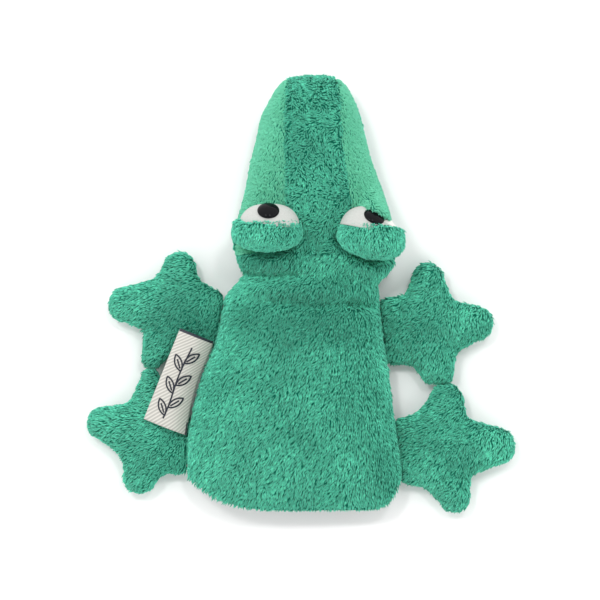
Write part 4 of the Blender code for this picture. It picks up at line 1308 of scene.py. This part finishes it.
def paw_outline(paw, inset, columns):
    """Points round a paw, `inset` millimetres inside its outline."""
    found = []
    palm = np.array(paw["palm"][:2])
    for a in np.linspace(0, math.tau, columns, endpoint=False):
        way = np.array([math.cos(a), math.sin(a)])
        near, far = 0.0, 1.0
        while paw_distance(paw, *(palm + way * far)) < -inset:
            near, far = far, far + 1.0
        for _ in range(14):
            middle = (near + far) / 2
            inside = paw_distance(paw, *(palm + way * middle)) < -inset
            near, far = (middle, far) if inside else (near, middle)
        found.append(palm + way * near)
    return np.array(found)


def paw_height(paw, x, y, inset):
    """How far the skin stands above or below the paw's seam."""
    depth = np.clip((-paw_distance(paw, x, y) - inset) / (PAW_EDGE - inset), 0, 1)
    from_root = (x - seam_x(paw["side"], y)) * paw["side"]
    taper = ROOT_SHARE + (1 - ROOT_SHARE) * np.clip(from_root / ROOT_TAPER, 0, 1) ** 0.9
    return np.sqrt(1 - (1 - depth) ** 2) * max(PAW_HALF * taper - inset, 0.1)


def paw_skin(name, paw):
    """A closed pillow with the paw's outline, its seam half way up."""
    columns = PAW_COLUMNS
    rings = 1 - (1 - np.linspace(0.06, 1, 20)) ** 1.6
    inset = SKIN_ROOM
    outline = paw_outline(paw, inset, columns)
    palm = np.array(paw["palm"][:2])
    points, faces = [], []
    for sign in (1, -1):
        start = len(points)
        points.append((*palm, PAW_SEAM_Z + sign * paw_height(paw, *palm, inset)))
        for share in rings if sign > 0 else rings[:-1]:
            for x, y in palm + (outline - palm) * share:
                high = 0.0 if share == rings[-1] else paw_height(paw, x, y, inset)
                points.append((x, y, PAW_SEAM_Z + sign * high))
        count = len(rings) if sign > 0 else len(rings) - 1
        fan = [(start, start + 1 + c, start + 1 + (c + 1) % columns) for c in range(columns)]
        layer = fan + grid_faces(count, columns, True, start + 1)
        if sign > 0:
            rim = start + 1 + (count - 1) * columns
        else:
            last = start + 1 + (count - 1) * columns
            for c in range(columns):
                n = (c + 1) % columns
                layer.append((last + c, last + n, rim + n, rim + c))
        faces += layer if sign > 0 else [tuple(reversed(f)) for f in layer]
    piece = new_piece(name, points, faces, material("plush_backing"))
    face_outwards(piece)
    return piece


def remeshed(piece, size):
    step = piece.modifiers.new("even_mesh", "REMESH")
    step.mode = "VOXEL"
    step.voxel_size = size * MM
    apply_all(piece)


def stuff(piece, most, hold=None):
    """Fills a skin by cloth simulation; no point moves further than `most` millimetres."""
    mesh = piece.data
    start = np.empty(len(mesh.vertices) * 3, np.float32)
    mesh.vertices.foreach_get("co", start)
    start = start.reshape(-1, 3).astype(float)
    step = piece.modifiers.new("stuffing", "CLOTH")
    cloth = step.settings
    cloth.quality = 5
    cloth.mass = 0.1
    cloth.tension_stiffness = 12
    cloth.compression_stiffness = 12
    cloth.bending_stiffness = 0.2
    cloth.shrink_min = STUFFING_SHRINK
    cloth.use_pressure = True
    cloth.uniform_pressure_force = STUFFING_PRESSURE
    cloth.effector_weights.gravity = 0
    if hold is not None:
        group = piece.vertex_groups.new(name="held")
        for index, weight in enumerate(hold(start / MM)):
            group.add([index], float(weight), "REPLACE")
        cloth.vertex_group_mass = "held"
    scene = bpy.context.scene
    for number in range(1, STUFFING_FRAMES + 1):
        scene.frame_set(number)
    shaped = piece.evaluated_get(bpy.context.evaluated_depsgraph_get())
    end = np.array([v.co for v in shaped.data.vertices])
    piece.modifiers.remove(step)
    scene.frame_set(1)
    move = end - start
    far = np.linalg.norm(move, axis=1, keepdims=True)
    move *= np.minimum(1, most * MM / np.maximum(far, 1e-9))
    mesh.vertices.foreach_set("co", (start + move).astype(np.float32).ravel())
    mesh.update()


def build_paws():
    for i, (name, paw) in enumerate(PAWS.items()):
        side = paw["side"]
        skin = paw_skin(name + "_skin", paw)
        remeshed(skin, PAW_VOXEL)
        stuff(
            skin, PAW_SWELL,
            hold=lambda p, side=side: 1 - ease((p[:, 0] - seam_x(side, p[:, 1])) * side, 2, 8),
        )
        smooth = skin.modifiers.new("smooth", "SMOOTH")
        smooth.factor = 0.5
        smooth.iterations = 3
        apply_all(skin)
        skin.data.shade_smooth()
        nap = nap_direction(paw["nap"])
        palm = np.array([*paw["palm"][:2], PAW_SEAM_Z])
        pile = grow_pile(
            name + "_pile", skin,
            lambda p, nap=nap, palm=palm: nap + 0.3 * unit(p - palm), 71 + i, length=0.9, lift=21.0,
            keep=lambda p, n, side=side: (p[:, 0] - seam_x(side, p[:, 1])) * side > -1.5,
        )
        for piece in (skin, *pile):
            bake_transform(piece)
            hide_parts(name + "_upper", name + "_lower")


# ================================================================ label

def label_frame():
    turn = math.radians(LABEL_TURN)
    along = np.array([math.sin(turn), math.cos(turn)])
    out = np.array([-math.cos(turn), math.sin(turn)])
    return along, out


def label_reach(fold, out):
    """How far the ribbon runs from a point on its fold in to the side seam."""
    reach = 10.0
    for _ in range(40):
        x, y = fold - out * reach
        reach += (seam_x(-1, y) - x) / -out[0] * 0.8
    return reach


def build_label():
    """A woven ribbon folded in half, its ends sewn into the left side seam."""
    along, out = label_frame()
    rows, bend = 40, np.radians(np.linspace(90, -90, 15))[1:-1]
    grid, uv, back = [], [], []
    for d in np.linspace(0, LABEL_LENGTH, rows):
        fold = np.array(LABEL_FOLD) + along * d
        whole = label_reach(fold, out) - 1.0
        reach = np.linspace(0, whole - LABEL_LOOP, 24)
        height = curve_through(LABEL_RISE, reach - 1.0)
        lift = 0.5 * math.sin(d / LABEL_LENGTH * math.pi * 1.3 + 0.4)
        spread_at = 0.25 + np.clip(reach / 9, 0, 1) ** 1.5 * (LABEL_LOOP + 0.5 * d / LABEL_LENGTH - 0.25)
        height = height + lift * reach / whole
        line = [(r, h + s) for r, h, s in zip(reach, height, spread_at)]
        gap = spread_at[-1]
        line += [(reach[-1] + gap * math.cos(a), height[-1] + gap * math.sin(a)) for a in bend]
        line += [(r, h - s) for r, h, s in zip(reach[::-1], height[::-1], spread_at[::-1])]
        line = np.array(line)
        flat = fold[None, :] + out[None, :] * (line[:, :1] - whole)
        grid.append(np.concatenate([flat, line[:, 1:]], axis=1))
        run = np.concatenate([[0], np.cumsum(np.linalg.norm(np.diff(line, axis=0), axis=1))])
        uv.append(np.stack([run / 10, np.full_like(run, d / 10)], axis=1))
    grid, uv = np.array(grid), np.array(uv)
    piece = sheet_piece("ribbon_label", grid, material("label_ribbon"))
    layer = piece.data.uv_layers.new(name="ribbon")
    places = uv.reshape(-1, 2)
    for loop in piece.data.loops:
        layer.data[loop.index].uv = places[loop.vertex_index]
    step = piece.modifiers.new("cloth", "SOLIDIFY")
    step.thickness = RIBBON_CLOTH * MM
    step.offset = 0
    apply_all(piece)
    mesh = piece.data
    attribute = mesh.attributes.new("back", "FLOAT", "FACE")
    centres = np.array([f.center for f in mesh.polygons]) / MM
    normals = np.array([f.normal for f in mesh.polygons])
    d = (centres[:, :2] - np.array(LABEL_FOLD)) @ along
    row = np.clip((d / LABEL_LENGTH * (rows - 1)).round().astype(int), 0, rows - 1)
    r = (centres[:, :2] - np.array(LABEL_FOLD) - d[:, None] * along) @ out
    centre_height = []
    for k, (i, reach) in enumerate(zip(row, r)):
        line = grid[i]
        near = np.argsort(np.abs((line[:, :2] - centres[k, :2]) @ out))[:6]
        centre_height.append(line[near, 2].mean())
    inward = (centres[:, 2] - np.array(centre_height)) * normals[:, 2] < 0
    inward |= d > LABEL_LENGTH - LABEL_BAND
    attribute.data.foreach_set("value", inward.astype(np.float32))
    motif = build_motif(grid, along, out)
    for item in (piece, motif):
        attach(item, "label")
        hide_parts("woven_label")


def leaf_outline(at, size, width, lean, count=14):
    """A closed leaf from its stalk's end `at`, in the label's own (along, across) millimetres."""
    t = np.linspace(0, 1, count)
    side = width / 2 * np.sin(math.pi * t) ** 0.8
    there = np.stack([t * size, side], axis=1)
    back = np.stack([t[::-1][1:] * size, -side[::-1][1:]], axis=1)
    a = math.radians(lean)
    turn = np.array([[math.cos(a), math.sin(a)], [-math.sin(a), math.cos(a)]])
    return np.concatenate([there, back]) @ turn + np.array(at)


def motif_lines():
    """A stem with three pairs of leaves, as lines along and across the label."""
    stem_d = np.linspace(4.0, 43.0, 30)
    middle = 8.6
    lines = [np.stack([stem_d, middle + 0.5 * np.sin(stem_d / 6.0)], axis=1)]
    for k, d in enumerate((8.0, 20.0, 32.0)):
        for way in (1, -1):
            at = (d + 2.2 * way, middle + 0.5 * math.sin(d / 6.0))
            lines.append(leaf_outline(at, 9.0, 3.6, 38.0 * way))
            vein = np.array([[1.5, 0.0], [6.5, 0.0]])
            a = math.radians(38.0 * way)
            turn = np.array([[math.cos(a), math.sin(a)], [-math.sin(a), math.cos(a)]])
            lines.append(vein @ turn + np.array(at))
    return lines


def build_motif(grid, along, out):
    """A plain stem with leaves, embroidered in outline on the label's upper side."""
    rows = grid.shape[0]
    upper = grid[:, :24]
    fold = np.array(LABEL_FOLD)
    fold_line = grid[:, 23 + 7, :2]
    points, faces = [], []
    for line in motif_lines():
        steps = np.concatenate([[0], np.cumsum(np.linalg.norm(np.diff(line, axis=0), axis=1))])
        even = np.linspace(0, steps[-1], max(4, int(steps[-1] / 0.5)))
        line = np.stack([np.interp(even, steps, line[:, k]) for k in range(2)], axis=1)
        tangent = unit(np.gradient(line, axis=0))
        aside = np.stack([-tangent[:, 1], tangent[:, 0]], axis=1) * THREAD / 2
        start = len(points)
        for (d, r) in np.stack([line + aside, line - aside], axis=1).reshape(-1, 2):
            row = np.clip(d / LABEL_LENGTH * (rows - 1), 0, rows - 1.001)
            i, f = int(row), row - int(row)
            section = upper[i] * (1 - f) + upper[i + 1] * f
            edge = fold_line[i] * (1 - f) + fold_line[i + 1] * f
            reach = (edge - section[:, :2]) @ out
            order = np.argsort(reach)
            x, y = fold + along * d - out * r
            points.append((x, y, np.interp(r, reach[order], section[order, 2]) + 0.3))
        faces += grid_faces(len(line), 2, False, start)
    piece = new_piece("label_leaves", points, faces, material("label_thread"), smooth=False)
    up = [f.normal.z > 0 for f in piece.data.polygons]
    if sum(up) < len(up) / 2:
        piece.data.flip_normals()
    give_thickness(piece, THREAD_HEIGHT)
    return piece


# ================================================================ inner pieces that keep their frame shape

def build_inside():
    finishes = {"filling": "filling_fibre", "washer": "washer_nylon"}
    for node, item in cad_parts.items():
        for word, finish in finishes.items():
            if word in node:
                item.data.materials.clear()
                item.data.materials.append(material(finish))


# ================================================================ stage

def build_stage():
    scene = bpy.context.scene
    scene.view_settings.view_transform = "Standard"
    bpy.ops.object.select_all(action="DESELECT")
    bpy.ops.mesh.primitive_plane_add(size=6.0, location=(0, 0, -0.0002))
    floor = bpy.context.active_object
    floor.name = "studio_floor"
    floor.data.materials.append(material("studio_floor"))
    world = bpy.data.worlds.new("studio")
    world.use_nodes = True
    tree = world.node_tree
    way = add_node(tree, "ShaderNodeTexCoord")
    parts = add_node(tree, "ShaderNodeSeparateXYZ")
    tree.links.new(way.outputs["Generated"], parts.inputs["Vector"])
    high = spread(tree, parts.outputs["Z"], 0.72, 0.98)
    around, above = (1.0, 1.0, 1.0), (0.2, 0.2, 0.2)
    tree.links.new(mix_colours(tree, high, around, above), tree.nodes["Background"].inputs["Color"])
    tree.nodes["Background"].inputs["Strength"].default_value = settings().fill_strength
    scene.world = world
    lamps = (
        ("key_light", settings().key_strength, 0.2, (-0.42, 0.52, 1.20)),
        ("second_light", settings().second_strength, 0.16, (0.26, 0.56, 1.20)),
    )
    for name, power, size, place in lamps:
        light = bpy.data.lights.new(name, "AREA")
        light.energy = power
        light.size = size
        lamp = bpy.data.objects.new(name, light)
        aim(lamp, place, (0.0, 0.05, 0.0))
        scene.collection.objects.link(lamp)
    camera = bpy.data.cameras.new("camera")
    camera.sensor_width = 36.0
    camera.lens = camera.sensor_width * CAMERA_AT[2] / CAMERA_FIELD
    camera_item = bpy.data.objects.new("camera", camera)
    camera_item.location = CAMERA_AT
    scene.collection.objects.link(camera_item)
    scene.camera = camera_item


def aim(item, place, target):
    """Puts a light at a place, looking at a target."""
    item.location = place
    item.rotation_euler = (Vector(target) - Vector(place)).to_track_quat("-Z", "Y").to_euler()


# ================================================================ operators and panel

class PUPPET_OT_torso(bpy.types.Operator):
    """Build the back and belly panels with their pile and the pocket's lining"""

    bl_idname = "puppet.torso"
    bl_label = "Torso"

    def execute(self, context):
        build_torso()
        return {"FINISHED"}


class PUPPET_OT_neck(bpy.types.Operator):
    """Build the plush neck between torso and head"""

    bl_idname = "puppet.neck"
    bl_label = "Neck"

    def execute(self, context):
        build_neck()
        return {"FINISHED"}


class PUPPET_OT_head(bpy.types.Operator):
    """Build the snout's gusset and side panels"""

    bl_idname = "puppet.head"
    bl_label = "Head"

    def execute(self, context):
        build_head()
        return {"FINISHED"}


class PUPPET_OT_jaw(bpy.types.Operator):
    """Build the chin and throat panels and the plates inside the mouth"""

    bl_idname = "puppet.jaw"
    bl_label = "Jaw and Mouth"

    def execute(self, context):
        build_jaw()
        build_mouth()
        return {"FINISHED"}


class PUPPET_OT_eyes(bpy.types.Operator):
    """Build both eyes: velour white, plush lid and polished button"""

    bl_idname = "puppet.eyes"
    bl_label = "Eyes"

    def execute(self, context):
        build_eyes()
        return {"FINISHED"}


class PUPPET_OT_paws(bpy.types.Operator):
    """Build the four stuffed three-fingered paws"""

    bl_idname = "puppet.paws"
    bl_label = "Paws"

    def execute(self, context):
        build_paws()
        return {"FINISHED"}


class PUPPET_OT_label(bpy.types.Operator):
    """Build the folded woven label in the left side seam"""

    bl_idname = "puppet.label"
    bl_label = "Label"

    def execute(self, context):
        build_label()
        return {"FINISHED"}


class PUPPET_OT_inside(bpy.types.Operator):
    """Finish the fillings and washers that the skins hide"""

    bl_idname = "puppet.inside"
    bl_label = "Inner Pieces"

    def execute(self, context):
        build_inside()
        return {"FINISHED"}


class PUPPET_OT_stage(bpy.types.Operator):
    """Set the pale floor, the soft studio light and the camera"""

    bl_idname = "puppet.stage"
    bl_label = "Stage"

    def execute(self, context):
        build_stage()
        return {"FINISHED"}


OPERATORS = (
    PUPPET_OT_stage, PUPPET_OT_torso, PUPPET_OT_neck, PUPPET_OT_head, PUPPET_OT_jaw, PUPPET_OT_eyes,
    PUPPET_OT_paws, PUPPET_OT_label, PUPPET_OT_inside,
)


class PUPPET_PT_panel(bpy.types.Panel):
    """Settings and build buttons of the puppet"""

    bl_idname = "PUPPET_PT_panel"
    bl_label = "Hand Puppet"
    bl_space_type = "VIEW_3D"
    bl_region_type = "UI"
    bl_category = "Puppet"

    def draw(self, context):
        for name in PuppetSettings.__annotations__:
            self.layout.prop(context.scene.puppet, name)
        for operator in OPERATORS:
            self.layout.operator(operator.bl_idname)


CLASSES = (PuppetSettings, *OPERATORS, PUPPET_PT_panel)


def register():
    for item in CLASSES:
        bpy.utils.register_class(item)
    bpy.types.Scene.puppet = PointerProperty(type=PuppetSettings)


def unregister():
    del bpy.types.Scene.puppet
    for item in reversed(CLASSES):
        bpy.utils.unregister_class(item)


def main():
    register()
    bpy.ops.puppet.stage()
    bpy.ops.puppet.torso()
    bpy.ops.puppet.neck()
    bpy.ops.puppet.head()
    bpy.ops.puppet.jaw()
    bpy.ops.puppet.eyes()
    bpy.ops.puppet.paws()
    bpy.ops.puppet.label()
    bpy.ops.puppet.inside()


if __name__ == "__main__":
    main()
